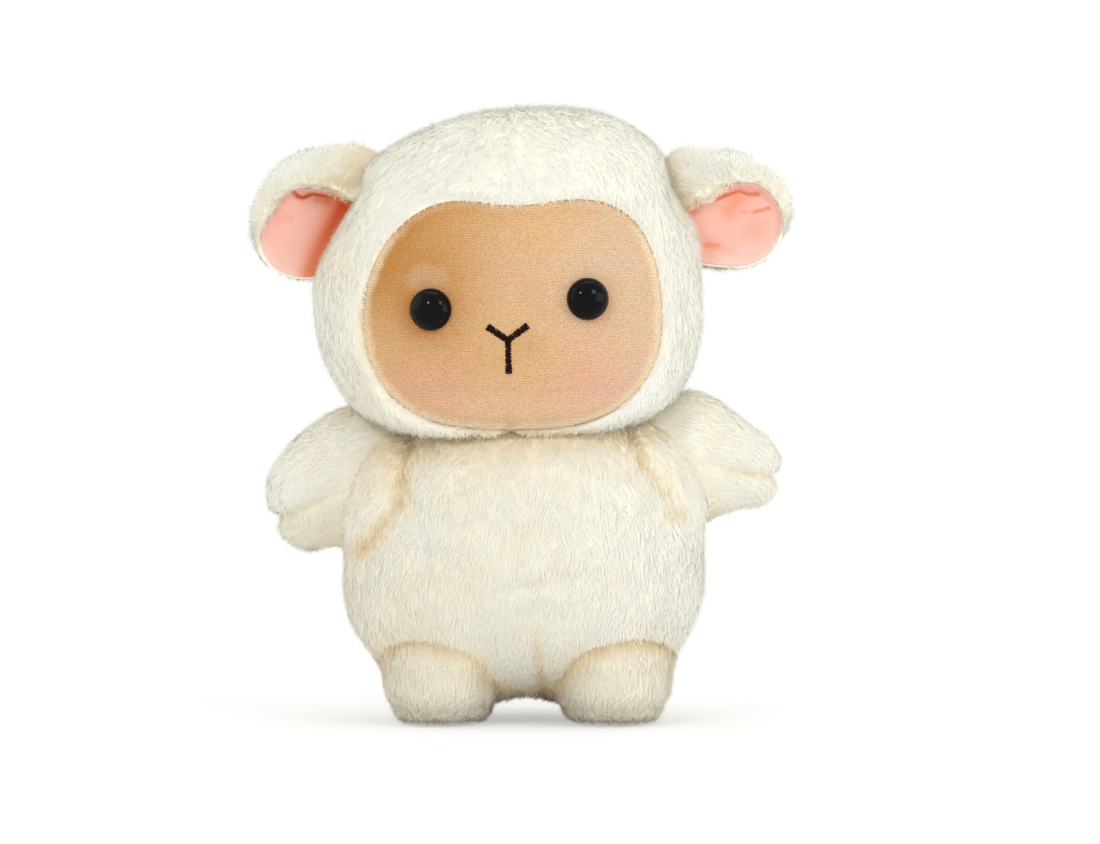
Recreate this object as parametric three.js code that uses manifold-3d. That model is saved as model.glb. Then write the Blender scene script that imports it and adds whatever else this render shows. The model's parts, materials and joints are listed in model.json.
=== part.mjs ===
// A stuffed sheep that stands on two stub feet: long-pile plush panels round a fibre filling, a
// short-pile face let into the hood, plastic eyes held by washers, and a head, ears, arms and feet
// that bend at their seams.
// Millimetres, +Z up, the face towards -Y. Left and right are the sheep's own, so +X is its left.
// Plush panels are drawn to the outside of their pile.

import * as THREE from 'three';
import { mergeVertices } from 'three/addons/utils/BufferGeometryUtils.js';
import Module from 'manifold-3d';

const wasm = await Module();
wasm.setup();

// Driving dimensions

const CLEARANCE = 0.3; // between sewn pieces that touch
const RUNNING_GAP = 0.8; // round a limb's root, where it turns in its seat
const OVERRUN = 30; // how far a cutting shape runs past what it cuts
const ELLIPSE = 2; // the fullness of a plain ellipse
const FILLING_SLACK = 6; // from the torso's filling to the limbs' resting places
const BASTING = 0.5; // how deep the soles are pressed flat

const TORSO_HALF_WIDTH = 70;
const TORSO_FRONT = 57; // half depths, before and behind the side seams
const TORSO_BACK = 52;
const TORSO_LIFT = 11; // the seat above the floor
const SEAT_TO_WAIST = 47; // up to the widest ring
const WAIST_TO_CROWN = 74; // up to where the form would close above the neck
const TORSO_PILE = 5.5; // plush panel with its pile
const TORSO_TOP_FULLNESS = 2.3; // more than an ellipse's is fuller
const TORSO_SEAT_FULLNESS = 2.6;
const TORSO_PLAN_FULLNESS = 2.2;

const HEAD_HALF_WIDTH = 75.5;
const HEAD_FRONT = 60;
const HEAD_BACK = 56;
const CHEEK_TO_CROWN = 77;
const CHEEK_TO_CHIN = 51;
const HEAD_PILE = 6.5;
const HEAD_TOP_FULLNESS = 2.5;
const HEAD_CHIN_FULLNESS = 3;
const HEAD_PLAN_FULLNESS = 2.3;
const CHIN_DRAWN_IN = 0.6; // 1 is as round from front to back as it is from side to side, less is fuller
const NECK_RISE = 49; // the chin above the widest ring of the torso
const HEAD_FORWARD = 3;
const HEAD_ASIDE = -5.3; // the head is sewn on a little to the sheep's right
const HEAD_ROLL_DEG = -1.5;
const NECK_RADIUS = 25; // the opening where the head is sewn to the torso
const NECK_BACK = 8;
const NOD_DEG = [-6, 6];

const FACE_HALF_WIDTH = 57.8;
const FACE_HALF_HEIGHT = 44;
const FACE_DROP = 4; // the panel's middle below the widest ring of the head
const FACE_RECESS = 4; // the short pile below the hood's long pile
const FACE_SETBACK = 25; // how far in front of the head's middle the panel ends under the chin
// half of the panel's edge, from the middle of the forehead to the chin: across, up
const FACE_EDGE_SHARES = [
  [0, 0.95], [0.5, 1], [0.76, 0.9], [0.885, 0.68], [0.96, 0.38],
  [1, -0.13], [0.95, -0.53], [0.79, -0.78], [0.5, -0.94], [0, -1],
];

const EYE_RADIUS = 8;
const EYE_DOME = 6.4;
const EYE_SPREAD = 29.4; // from the middle between the eyes to each eye
const EYES_ASIDE = -0.6;
const EYE_RISE = { left: 3, right: 0.6 }; // above the widest ring of the head
const SHANK_RADIUS = 1.9;
const SHANK_LENGTH = 11;
const SHANK_RIB = 0.5;
const SHANK_RIBS = 3;
const WASHER_RADIUS = 7;
const WASHER_THICKNESS = 1.6;
const WASHER_FIT = 0.7; // washer bore over the shank's ribs

const NOSE_HALF_WIDTH = 7.4;
const NOSE_ASIDE = -1.4;
const NOSE_RISE = 6.5;
const NOSE_DROP = 10;
const NOSE_BELOW_CHEEK = 13.6; // the meeting of the three strokes
const THREAD_WIDTH = 2.5;
const THREAD_PROUD = 0.8;
const THREAD_SUNK = 0.6;

const EAR_FRONT = 13;
const EAR_BACK = 10;
const EAR_FULLNESS = 2.6;
const EAR_WALL = 6; // plush behind the lining
const EAR_BRIM = 12; // plush rolled over the top edge
const EAR_SIDE_BRIM = 5.5;
const EAR_BEHIND = 4; // behind the head's side seams
const EAR_SINK = 12; // the hinge line, inside the head's surface
const LINING_THICKNESS = 2;
const EAR_FLOP_DEG = [-10, 10];
const EARS = {
  left: { halfLength: 28, halfHeight: 24, out: 82, rise: 36, tiltDeg: 8 },
  right: { halfLength: 30, halfHeight: 25, out: 70.3, rise: 36, tiltDeg: -12 },
};

const ARM_PILE = 5;
const ARM_FLATNESS = 0.84; // depth over height
const ARM_BACK = 1; // behind the side seams
const ARM_SEAM_PINCH = 2.4; // how deep the seam draws in at the tip
const ARM_SEAM_WIDTH = 5;
const ARM_SWING_DEG = [-10, 20];
const ARMS = {
  left: { rootRadius: 24.5, tipRadius: 15.5, length: 27.5, inset: 4, rise: 42, droopDeg: 9.5 },
  right: { rootRadius: 26.5, tipRadius: 18, length: 24.5, inset: 5.5, rise: 36, droopDeg: 24 },
};

const FOOT_FRONT = 40;
const FOOT_BACK = 28;
const FOOT_HINGE_RISE = 12; // the hinge above the seat
const FOOT_TOP = 16; // the foot's root above its hinge
const FOOT_FORWARD = 12;
const FOOT_PILE = 5;
const FOOT_TOP_FULLNESS = ELLIPSE;
const FOOT_SOLE_FULLNESS = 3.4;
const FOOT_PLAN_FULLNESS = 2.5;
const SOLE_SEAM_RISE = 8; // the seam above the floor
const FOOT_SWING_DEG = [-8, 8];
const FEET = {
  left: { halfWidth: 24, out: 33.3 },
  right: { halfWidth: 23.5, out: 32 },
};

const TAIL_RADIUS = 11;
const TAIL_LENGTH = 15;
const TAIL_DROP_DEG = 25;
const TAIL_BELOW_WAIST = 12;

const POUCH_HALF_WIDTH = 44;
const POUCH_HALF_DEPTH = 24;
const POUCH_TOP = 20; // above the middle of the pouch
const POUCH_RISE = 26; // the middle above the seat
const POUCH_BACK = 20;

// Columns round a form and rows up it
const TORSO_GRID = [24, 14];
const HEAD_GRID = [28, 16];
const FILLING_GRID = [16, 10];
const CUTTER_GRID = [16, 10];
const EAR_GRID = [16, 10];
const FOOT_GRID = [16, 10];
const TAIL_GRID = [12, 8];
const BALL_GRID = [20, 12];
const ARM_COLUMNS = 16;
const ARM_CAP_STEPS = 4;
const TURNED_SEGMENTS = 14;
const EYE_DOME_STEPS = 5;
const SWEEP_STEP_DEG = 8; // at most, between the poses that a cut clears
const EDGE_POINTS = 36;
const STROKE_END_STEPS = 5;

const SIDES = { left: 1, right: -1 };
const CUTTER_GROWTH = 1.8; // covers a coarse cutter's flats and the running gap

// Solids

const radians = THREE.MathUtils.degToRad;
const upright = new THREE.Vector3(0, 0, 1);
const sideways = new THREE.Vector3(1, 0, 0);
const backwards = new THREE.Vector3(0, 1, 0);
const moved = (x, y, z) => new THREE.Matrix4().makeTranslation(x, y, z);
const turned = (axis, degrees) => new THREE.Matrix4().makeRotationAxis(axis, radians(degrees));

function solid(geometry, matrix = new THREE.Matrix4()) {
  const bare = geometry.clone();
  bare.deleteAttribute('normal');
  bare.deleteAttribute('uv');
  bare.applyMatrix4(matrix);
  const closed = mergeVertices(bare);
  return new wasm.Manifold(new wasm.Mesh({
    numProp: 3,
    vertProperties: new Float32Array(closed.getAttribute('position').array),
    triVerts: new Uint32Array(closed.getIndex().array),
  }));
}

function geometryOf(body, matrix = new THREE.Matrix4()) {
  const { vertProperties, triVerts } = body.getMesh();
  const geometry = new THREE.BufferGeometry();
  geometry.setAttribute('position', new THREE.Float32BufferAttribute(vertProperties, 3));
  geometry.setIndex(new THREE.Uint32BufferAttribute(triVerts, 1));
  geometry.applyMatrix4(matrix);
  geometry.computeVertexNormals();
  return geometry;
}

const joined = (bodies) => bodies.reduce((all, body) => all.add(body));
const cut = (body, ...tools) => tools.reduce((left, tool) => left.subtract(tool), body);

// The largest closed piece, so that no crumb of a cut is left beside it
function mainPiece(body) {
  const volume = (piece) => (typeof piece.volume === 'function' ? piece.volume() : 0);
  return body.decompose().reduce((best, piece) => (volume(piece) > volume(best) ? piece : best));
}

// A turn by some degrees about an axis through a point
function turnAbout(point, axis, degrees) {
  return moved(point.x, point.y, point.z)
    .multiply(turned(axis, degrees))
    .multiply(moved(-point.x, -point.y, -point.z));
}

// Evenly spaced angles over a hinge's range, both limits among them
function anglesOf([low, high]) {
  const steps = Math.ceil((high - low) / SWEEP_STEP_DEG);
  return Array.from({ length: steps + 1 }, (_, step) => low + ((high - low) * step) / steps);
}

// Rounded forms

const signedPower = (value, power) => Math.sign(value) * Math.abs(value) ** power;

// A closed form round its own middle, whose plan and whose upper and lower halves are superellipses
function roundedForm(form, growth, [columns, rows]) {
  const unit = new THREE.SphereGeometry(1, columns, rows);
  unit.deleteAttribute('normal');
  unit.deleteAttribute('uv');
  const geometry = mergeVertices(unit);
  const position = geometry.getAttribute('position');
  const planPower = 2 / form.planFullness;
  for (let i = 0; i < position.count; i++) {
    const up = position.getY(i);
    const ahead = position.getZ(i);
    const bearing = Math.atan2(ahead, position.getX(i));
    const domePower = 2 / (up > 0 ? form.topFullness : form.bottomFullness);
    const reach = Math.hypot(position.getX(i), ahead) ** domePower;
    const depth = (ahead > 0 ? form.front : form.back) + growth;
    const height = (up > 0 ? form.top : form.bottom) + growth;
    const drawnIn = up > 0 ? 1 : form.bottomDrawnIn ?? 1;
    position.setXYZ(
      i,
      (form.halfWidth + growth) * reach * signedPower(Math.cos(bearing), planPower),
      -depth * reach ** drawnIn * signedPower(Math.sin(bearing), planPower),
      height * signedPower(up, domePower),
    );
  }
  return geometry;
}

// How far in front of its middle a rounded form's surface lies, above the point x, z
function frontOf(form, growth, x, z) {
  const fullness = z > 0 ? form.topFullness : form.bottomFullness;
  const height = (z > 0 ? form.top : form.bottom) + growth;
  const reach = (1 - (Math.abs(z) / height) ** fullness) ** (1 / fullness);
  const across = (Math.abs(x) / ((form.halfWidth + growth) * reach)) ** form.planFullness;
  const drawnIn = z > 0 ? 1 : form.bottomDrawnIn ?? 1;
  return (form.front + growth) * reach ** drawnIn * (1 - across) ** (1 / form.planFullness);
}

// How far from its middle a rounded form reaches sideways at height z
function sideOf(form, z) {
  const fullness = z > 0 ? form.topFullness : form.bottomFullness;
  const height = z > 0 ? form.top : form.bottom;
  return form.halfWidth * (1 - (Math.abs(z) / height) ** fullness) ** (1 / fullness);
}

// A box over one side of the plane through a point, for cutting a form in two
function halfSpace(point, normal, reach) {
  const side = 2 * reach;
  const box = new THREE.BoxGeometry(side, side, side);
  const turn = new THREE.Quaternion().setFromUnitVectors(upright, normal);
  const matrix = moved(point.x, point.y, point.z)
    .multiply(new THREE.Matrix4().makeRotationFromQuaternion(turn))
    .multiply(moved(0, 0, reach));
  return solid(box, matrix);
}

// Keeps what lies on the normal's side of a seam, half a clearance away from it
function panelOf(body, point, normal) {
  const edge = point.clone().addScaledVector(normal, CLEARANCE / 2);
  return mainPiece(body.intersect(halfSpace(edge, normal, HEAD_HALF_WIDTH + OVERRUN * 2)));
}

// Torso and head, in the sheep's frame

const torsoForm = {
  halfWidth: TORSO_HALF_WIDTH,
  front: TORSO_FRONT,
  back: TORSO_BACK,
  top: WAIST_TO_CROWN,
  bottom: SEAT_TO_WAIST,
  topFullness: TORSO_TOP_FULLNESS,
  bottomFullness: TORSO_SEAT_FULLNESS,
  planFullness: TORSO_PLAN_FULLNESS,
};
const waistHeight = TORSO_LIFT + SEAT_TO_WAIST;
const torsoPlace = moved(0, 0, waistHeight);
const torsoSolid = (growth, grid = TORSO_GRID) => solid(roundedForm(torsoForm, growth, grid), torsoPlace);

const headForm = {
  halfWidth: HEAD_HALF_WIDTH,
  front: HEAD_FRONT,
  back: HEAD_BACK,
  top: CHEEK_TO_CROWN,
  bottom: CHEEK_TO_CHIN,
  topFullness: HEAD_TOP_FULLNESS,
  bottomFullness: HEAD_CHIN_FULLNESS,
  planFullness: HEAD_PLAN_FULLNESS,
  bottomDrawnIn: CHIN_DRAWN_IN,
};
const headMiddle = new THREE.Vector3(HEAD_ASIDE, -HEAD_FORWARD, waistHeight + NECK_RISE + CHEEK_TO_CHIN);
const headPlace = moved(headMiddle.x, headMiddle.y, headMiddle.z)
  .multiply(turned(backwards, HEAD_ROLL_DEG));
// Solids of the head are made in its own frame, whose origin is its middle
const headSolid = (growth, grid = HEAD_GRID) => solid(roundedForm(headForm, growth, grid));

const headNods = anglesOf(NOD_DEG).map((angle) => turnAbout(headMiddle, sideways, angle).multiply(headPlace));
// The hollow on the torso that the chin rolls in, cut with the head's own facets
const headSeat = roundedForm(headForm, CLEARANCE / 2, HEAD_GRID);
const nodSweep = joined(headNods.map((nod) => solid(headSeat, nod)));

// Arms

// The outline of an arm along its own axis: a round root, a taper and a round tip
function armGeometry(arm, growth) {
  const root = arm.rootRadius + growth;
  const tip = arm.tipRadius + growth;
  const lean = Math.asin((root - tip) / arm.length);
  const profile = [];
  for (let i = 0; i <= ARM_CAP_STEPS; i++) {
    const angle = -Math.PI / 2 + ((Math.PI / 2 + lean) * i) / ARM_CAP_STEPS;
    profile.push(new THREE.Vector2(root * Math.cos(angle), root * Math.sin(angle)));
  }
  for (let i = 0; i <= ARM_CAP_STEPS; i++) {
    const angle = lean + ((Math.PI / 2 - lean) * i) / ARM_CAP_STEPS;
    profile.push(new THREE.Vector2(tip * Math.cos(angle), arm.length + tip * Math.sin(angle)));
  }
  profile[0].x = 0;
  profile[profile.length - 1].x = 0;
  const geometry = new THREE.LatheGeometry(profile, ARM_COLUMNS);
  const position = geometry.getAttribute('position');
  for (let i = 0; i < position.count; i++) {
    // lathe axis along the arm, X up out of the seam, Z through the depth
    const along = position.getY(i);
    const offSeam = Math.exp(-((position.getX(i) / ARM_SEAM_WIDTH) ** 2));
    const outward = THREE.MathUtils.clamp(along / (arm.length + tip), 0, 1);
    const pinch = (ARM_SEAM_PINCH * offSeam * outward) / (arm.length + tip);
    position.setXYZ(
      i,
      position.getX(i),
      along * (1 - pinch),
      position.getZ(i) * ARM_FLATNESS * (1 - pinch),
    );
  }
  return geometry;
}

// An arm's middle of turn, the way it points and its place in the sheep's frame
function armPlace(side) {
  const arm = ARMS[side];
  const sign = SIDES[side];
  const shoulder = new THREE.Vector3(
    sign * (sideOf(torsoForm, arm.rise) - arm.inset),
    ARM_BACK,
    waistHeight + arm.rise,
  );
  const droop = radians(arm.droopDeg);
  const along = new THREE.Vector3(sign * Math.cos(droop), 0, -Math.sin(droop));
  const offSeam = new THREE.Vector3(Math.sin(droop), 0, sign * Math.cos(droop)).multiplyScalar(sign);
  const depth = new THREE.Vector3().crossVectors(offSeam, along);
  const matrix = new THREE.Matrix4().makeBasis(offSeam, along, depth).setPosition(shoulder);
  return { shoulder, along, offSeam, matrix, axis: new THREE.Vector3(0, -sign, 0) };
}

const shoulderBall = (side, growth) => {
  const { shoulder } = armPlace(side);
  const radius = ARMS[side].rootRadius + growth;
  const ball = new THREE.SphereGeometry(1, ...BALL_GRID);
  return solid(ball, moved(shoulder.x, shoulder.y, shoulder.z)
    .scale(new THREE.Vector3(radius, radius * ARM_FLATNESS + growth, radius)));
};

function armPieces(side) {
  const { shoulder, offSeam, matrix, axis } = armPlace(side);
  const swings = anglesOf(ARM_SWING_DEG).map((angle) => turnAbout(shoulder, axis, -angle));
  // the torso and the head, over every swing and nod, with some thickness round them
  const met = (thickness) => {
    const torsoShape = roundedForm(torsoForm, CUTTER_GROWTH + thickness, CUTTER_GRID);
    const headShape = roundedForm(headForm, CUTTER_GROWTH + thickness, CUTTER_GRID);
    const torsoMet = joined(swings.map((swing) => solid(torsoShape, swing.clone().multiply(torsoPlace))))
      .subtract(shoulderBall(side, RUNNING_GAP / 2 - thickness));
    return torsoMet.add(joined(swings.flatMap((swing) => (
      headNods.map((nod) => solid(headShape, swing.clone().multiply(nod)))))));
  };
  const shape = (growth) => solid(armGeometry(ARMS[side], growth), matrix);
  const skin = cut(shape(0), met(0), cut(shape(-ARM_PILE), met(ARM_PILE)));
  const up = offSeam.clone().multiplyScalar(Math.sign(offSeam.z));
  return {
    upper: panelOf(skin, shoulder, up),
    lower: panelOf(skin, shoulder, up.clone().negate()),
    filling: mainPiece(cut(shape(-ARM_PILE - CLEARANCE), met(ARM_PILE + CLEARANCE))),
  };
}

// Feet

function footParts(side) {
  const foot = FEET[side];
  const hinge = new THREE.Vector3(SIDES[side] * foot.out, -FOOT_FORWARD, TORSO_LIFT + FOOT_HINGE_RISE);
  const form = {
    halfWidth: foot.halfWidth,
    front: FOOT_FRONT,
    back: FOOT_BACK,
    top: FOOT_TOP,
    bottom: hinge.z + BASTING,
    topFullness: FOOT_TOP_FULLNESS,
    bottomFullness: FOOT_SOLE_FULLNESS,
    planFullness: FOOT_PLAN_FULLNESS,
  };
  const place = moved(hinge.x, hinge.y, hinge.z);
  const shape = (growth) => solid(roundedForm(form, growth, FOOT_GRID), place);
  return { hinge, form, place, shape };
}

function footSweep(side) {
  const { hinge, form, place } = footParts(side);
  const cutter = roundedForm(form, RUNNING_GAP, FOOT_GRID);
  return joined(anglesOf(FOOT_SWING_DEG).map((angle) => (
    solid(cutter, turnAbout(hinge, sideways, angle).multiply(place)))));
}

function footPieces(side) {
  const { hinge, shape } = footParts(side);
  const floor = new THREE.Vector3(hinge.x, hinge.y, 0);
  const aboveFloor = halfSpace(floor, upright, HEAD_HALF_WIDTH);
  const skin = shape(0).intersect(aboveFloor).subtract(shape(-FOOT_PILE));
  const seam = new THREE.Vector3(hinge.x, hinge.y, SOLE_SEAM_RISE);
  return {
    upper: panelOf(skin, seam, upright),
    sole: panelOf(skin, seam, upright.clone().negate()),
    filling: shape(-FOOT_PILE - CLEARANCE),
  };
}

// Torso panels, filling, pellet pouch and tail

const limbSockets = joined([
  nodSweep,
  ...Object.keys(SIDES).flatMap((side) => [shoulderBall(side, RUNNING_GAP), footSweep(side)]),
]);
// The loose filling stands further back from the limbs, so each leaves one plain hollow in it
const fillingSockets = joined([
  solid(roundedForm(headForm, FILLING_SLACK, FILLING_GRID), headPlace),
  ...Object.keys(SIDES).flatMap((side) => [
    shoulderBall(side, FILLING_SLACK / 2),
    footParts(side).shape(FILLING_SLACK),
  ]),
]);

function torsoPieces() {
  const skin = cut(torsoSolid(0), torsoSolid(-TORSO_PILE, FILLING_GRID), limbSockets);
  const sideSeam = new THREE.Vector3(0, 0, waistHeight);
  const pouchForm = {
    halfWidth: POUCH_HALF_WIDTH,
    front: POUCH_HALF_DEPTH,
    back: POUCH_HALF_DEPTH,
    top: POUCH_TOP,
    bottom: POUCH_RISE,
    topFullness: ELLIPSE,
    bottomFullness: ELLIPSE,
    planFullness: ELLIPSE,
  };
  const pouchPlace = moved(0, POUCH_BACK, TORSO_LIFT + POUCH_RISE);
  const pouchShape = (growth) => solid(roundedForm(pouchForm, growth, FILLING_GRID), pouchPlace);
  const room = torsoSolid(-TORSO_PILE - CLEARANCE, FILLING_GRID);
  return {
    front: panelOf(skin, sideSeam, backwards.clone().negate()),
    back: panelOf(skin, sideSeam, backwards),
    filling: mainPiece(cut(room, fillingSockets, pouchShape(CLEARANCE))),
    pouch: mainPiece(cut(pouchShape(0).intersect(room), fillingSockets)),
  };
}

function tailPiece() {
  const form = {
    halfWidth: TAIL_RADIUS,
    front: TAIL_RADIUS,
    back: TAIL_RADIUS,
    top: TAIL_LENGTH,
    bottom: TAIL_LENGTH,
    topFullness: ELLIPSE,
    bottomFullness: ELLIPSE,
    planFullness: ELLIPSE,
  };
  const place = moved(0, TORSO_BACK, waistHeight - TAIL_BELOW_WAIST)
    .multiply(turned(sideways, TAIL_DROP_DEG));
  return mainPiece(solid(roundedForm(form, 0, TAIL_GRID), place).subtract(torsoSolid(CLEARANCE)));
}

// Head: hood, face, eyes and embroidery, in the head's own frame

// The face panel's edge, drawn forwards through the front of the head
function facePrism(growth) {
  const half = FACE_EDGE_SHARES.map(([across, up]) => new THREE.Vector3(
    across * (FACE_HALF_WIDTH + growth),
    up * (FACE_HALF_HEIGHT + growth) - FACE_DROP,
    0,
  ));
  const mirrored = half.slice(1, -1).reverse().map((point) => new THREE.Vector3(-point.x, point.y, 0));
  const edge = new THREE.CatmullRomCurve3([...half, ...mirrored], true, 'centripetal');
  const points = edge.getPoints(EDGE_POINTS).slice(0, -1).reverse();
  const shape = new THREE.Shape(points.map((point) => new THREE.Vector2(point.x, point.y)));
  const prism = new THREE.ExtrudeGeometry(shape, {
    depth: HEAD_FRONT + OVERRUN,
    steps: 1,
    bevelEnabled: false,
  });
  return solid(prism, moved(0, growth - FACE_SETBACK, 0).multiply(turned(sideways, 90)));
}

// An eye's seat on the face: its middle and the way it looks
function eyeSeat(side) {
  const step = EYE_RADIUS / 4;
  const x = EYES_ASIDE + SIDES[side] * EYE_SPREAD;
  const z = EYE_RISE[side];
  const depth = (dx, dz) => frontOf(headForm, -FACE_RECESS, x + dx, z + dz);
  const normal = new THREE.Vector3(
    -(depth(step, 0) - depth(-step, 0)),
    -2 * step,
    -(depth(0, step) - depth(0, -step)),
  ).normalize();
  const middle = new THREE.Vector3(x, -depth(0, 0), z);
  const turn = new THREE.Quaternion().setFromUnitVectors(backwards, normal);
  return new THREE.Matrix4().compose(middle, turn, new THREE.Vector3(1, 1, 1));
}

const lathe = (points, place, segments = TURNED_SEGMENTS) => solid(
  new THREE.LatheGeometry(points.map(([across, up]) => new THREE.Vector2(across, up)), segments),
  place,
);

// A domed eye with a ribbed shank, its flat back just under the face's surface
function eyeProfile(growth) {
  const radius = EYE_RADIUS + growth;
  const points = [[0, -SHANK_LENGTH - growth], [SHANK_RADIUS + growth, -SHANK_LENGTH - growth]];
  const ribPitch = (SHANK_LENGTH - WASHER_THICKNESS) / (SHANK_RIBS + 1);
  for (let rib = 0; rib < SHANK_RIBS; rib++) {
    const low = -SHANK_LENGTH + ribPitch * (rib + 1) - growth;
    points.push([SHANK_RADIUS + growth, low]);
    points.push([SHANK_RADIUS + SHANK_RIB + growth, low + ribPitch / 2]);
    points.push([SHANK_RADIUS + growth, low + ribPitch / 2]);
  }
  points.push([SHANK_RADIUS + growth, -CLEARANCE - growth], [radius, -CLEARANCE - growth]);
  for (let i = 0; i <= EYE_DOME_STEPS; i++) {
    const angle = (Math.PI / 2) * (i / EYE_DOME_STEPS);
    points.push([radius * Math.cos(angle), (EYE_DOME + growth) * Math.sin(angle)]);
  }
  points[points.length - 1][0] = 0;
  return points;
}

function eyePieces(side) {
  const seat = eyeSeat(side);
  const shankRoom = SHANK_RADIUS + SHANK_RIB + CLEARANCE;
  const bore = SHANK_RADIUS + SHANK_RIB + WASHER_FIT;
  const washerFront = -(HEAD_PILE - FACE_RECESS) - CLEARANCE;
  const washerBack = washerFront - WASHER_THICKNESS;
  const washer = (growth) => [
    [bore - growth, washerBack - growth],
    [WASHER_RADIUS + growth, washerBack - growth],
    [WASHER_RADIUS + growth, washerFront + growth],
    [bore - growth, washerFront + growth],
    [bore - growth, washerBack - growth],
  ];
  const seatRadius = EYE_RADIUS + CLEARANCE;
  return {
    eye: lathe(eyeProfile(0), seat),
    washer: lathe(washer(0), seat),
    faceCutter: lathe([
      [0, -OVERRUN],
      [WASHER_RADIUS + CLEARANCE, -OVERRUN],
      [WASHER_RADIUS + CLEARANCE, washerFront + CLEARANCE],
      [shankRoom, washerFront + CLEARANCE],
      [shankRoom, -CLEARANCE * 2],
      [seatRadius, -CLEARANCE * 2],
      [seatRadius, OVERRUN],
      [0, OVERRUN],
    ], seat),
    fillingCutter: lathe([
      [0, -SHANK_LENGTH - CLEARANCE],
      [shankRoom, -SHANK_LENGTH - CLEARANCE],
      [shankRoom, washerBack - CLEARANCE],
      [WASHER_RADIUS + CLEARANCE, washerBack - CLEARANCE],
      [WASHER_RADIUS + CLEARANCE, OVERRUN],
      [0, OVERRUN],
    ], seat),
  };
}

// One embroidered stroke: a round-ended bar drawn through the face
function strokeSolid(from, to, width) {
  const along = new THREE.Vector2().subVectors(to, from);
  const bearing = along.angle();
  const shape = new THREE.Shape();
  shape.absarc(to.x, to.y, width / 2, bearing - Math.PI / 2, bearing + Math.PI / 2);
  shape.absarc(from.x, from.y, width / 2, bearing + Math.PI / 2, bearing + Math.PI * 1.5);
  const bar = new THREE.ExtrudeGeometry(shape, {
    depth: HEAD_FRONT + OVERRUN,
    steps: 1,
    bevelEnabled: false,
    curveSegments: STROKE_END_STEPS,
  });
  return solid(bar, turned(sideways, 90));
}

function noseStrokes(width) {
  const meeting = new THREE.Vector2(NOSE_ASIDE, -NOSE_BELOW_CHEEK);
  const ends = [
    [NOSE_HALF_WIDTH, NOSE_RISE],
    [-NOSE_HALF_WIDTH, NOSE_RISE],
    [0, -NOSE_DROP],
  ];
  return joined(ends.map(([across, up]) => (
    strokeSolid(meeting, meeting.clone().add(new THREE.Vector2(across, up)), width))));
}

// A round column down through the chin, where the head's filling runs into the torso's
function neckColumn(growth) {
  const radius = NECK_RADIUS + growth;
  const length = CHEEK_TO_CHIN + OVERRUN;
  return solid(
    new THREE.CylinderGeometry(radius, radius, length, TURNED_SEGMENTS),
    moved(0, NECK_BACK, -length / 2).multiply(turned(sideways, 90)),
  );
}

function headPieces() {
  const room = headSolid(-HEAD_PILE, FILLING_GRID);
  const hood = cut(headSolid(0), room, facePrism(0), neckColumn(0));
  const middle = new THREE.Vector3(0, 0, 0);
  const eyes = { left: eyePieces('left'), right: eyePieces('right') };
  const faceSurface = headSolid(-FACE_RECESS);
  const thread = noseStrokes(THREAD_WIDTH)
    .intersect(headSolid(-FACE_RECESS + THREAD_PROUD))
    .subtract(headSolid(-FACE_RECESS - THREAD_SUNK));
  const threadGroove = noseStrokes(THREAD_WIDTH + 2 * CLEARANCE)
    .subtract(headSolid(-FACE_RECESS - THREAD_SUNK - CLEARANCE));
  const face = cut(
    faceSurface.intersect(facePrism(-CLEARANCE)),
    room,
    eyes.left.faceCutter,
    eyes.right.faceCutter,
    threadGroove,
  );
  const filling = headSolid(-HEAD_PILE - CLEARANCE, FILLING_GRID)
    .add(headSolid(0, FILLING_GRID).intersect(neckColumn(-CLEARANCE)));
  return {
    hood: {
      left: panelOf(hood, middle, sideways),
      right: panelOf(hood, middle, sideways.clone().negate()),
    },
    face: mainPiece(face),
    filling: mainPiece(cut(filling, eyes.left.fillingCutter, eyes.right.fillingCutter)),
    thread: mainPiece(thread),
    eyes,
  };
}

// Ears, in the head's own frame

function earPlace(side) {
  const ear = EARS[side];
  const sign = SIDES[side];
  const middle = new THREE.Vector3(sign * ear.out, EAR_BEHIND, ear.rise);
  const hinge = new THREE.Vector3(
    sign * (sideOf(headForm, ear.rise) - EAR_SINK),
    EAR_BEHIND,
    ear.rise,
  );
  return { middle, hinge, axis: new THREE.Vector3(0, -sign, 0) };
}

function earPieces(side) {
  const ear = EARS[side];
  const { middle, hinge, axis } = earPlace(side);
  const rounded = { topFullness: EAR_FULLNESS, bottomFullness: EAR_FULLNESS, planFullness: ELLIPSE };
  const leafForm = {
    ...rounded,
    halfWidth: ear.halfLength,
    front: EAR_FRONT,
    back: EAR_BACK,
    top: ear.halfHeight,
    bottom: ear.halfHeight,
  };
  // the hollow that the lining fills runs out through the front and the lower edge
  const hollowForm = {
    ...rounded,
    halfWidth: ear.halfLength - EAR_SIDE_BRIM,
    front: EAR_FRONT + OVERRUN,
    back: EAR_BACK - EAR_WALL,
    top: ear.halfHeight - EAR_BRIM,
    bottom: ear.halfHeight + OVERRUN / 2,
  };
  const place = moved(middle.x, middle.y, middle.z).multiply(turned(backwards, ear.tiltDeg));
  const shape = (form, growth) => solid(roundedForm(form, growth, EAR_GRID), place);
  const headShape = roundedForm(headForm, RUNNING_GAP / 2, HEAD_GRID);
  const headMet = joined(anglesOf(EAR_FLOP_DEG).map((angle) => (
    solid(headShape, turnAbout(hinge, axis, -angle)))));
  const lining = shape(hollowForm, -CLEARANCE)
    .subtract(shape(hollowForm, -CLEARANCE - LINING_THICKNESS))
    .intersect(shape(leafForm, -CLEARANCE));
  return {
    back: mainPiece(cut(shape(leafForm, 0), shape(hollowForm, 0), headMet)),
    lining: mainPiece(cut(lining, headMet)),
  };
}

// Materials

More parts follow.
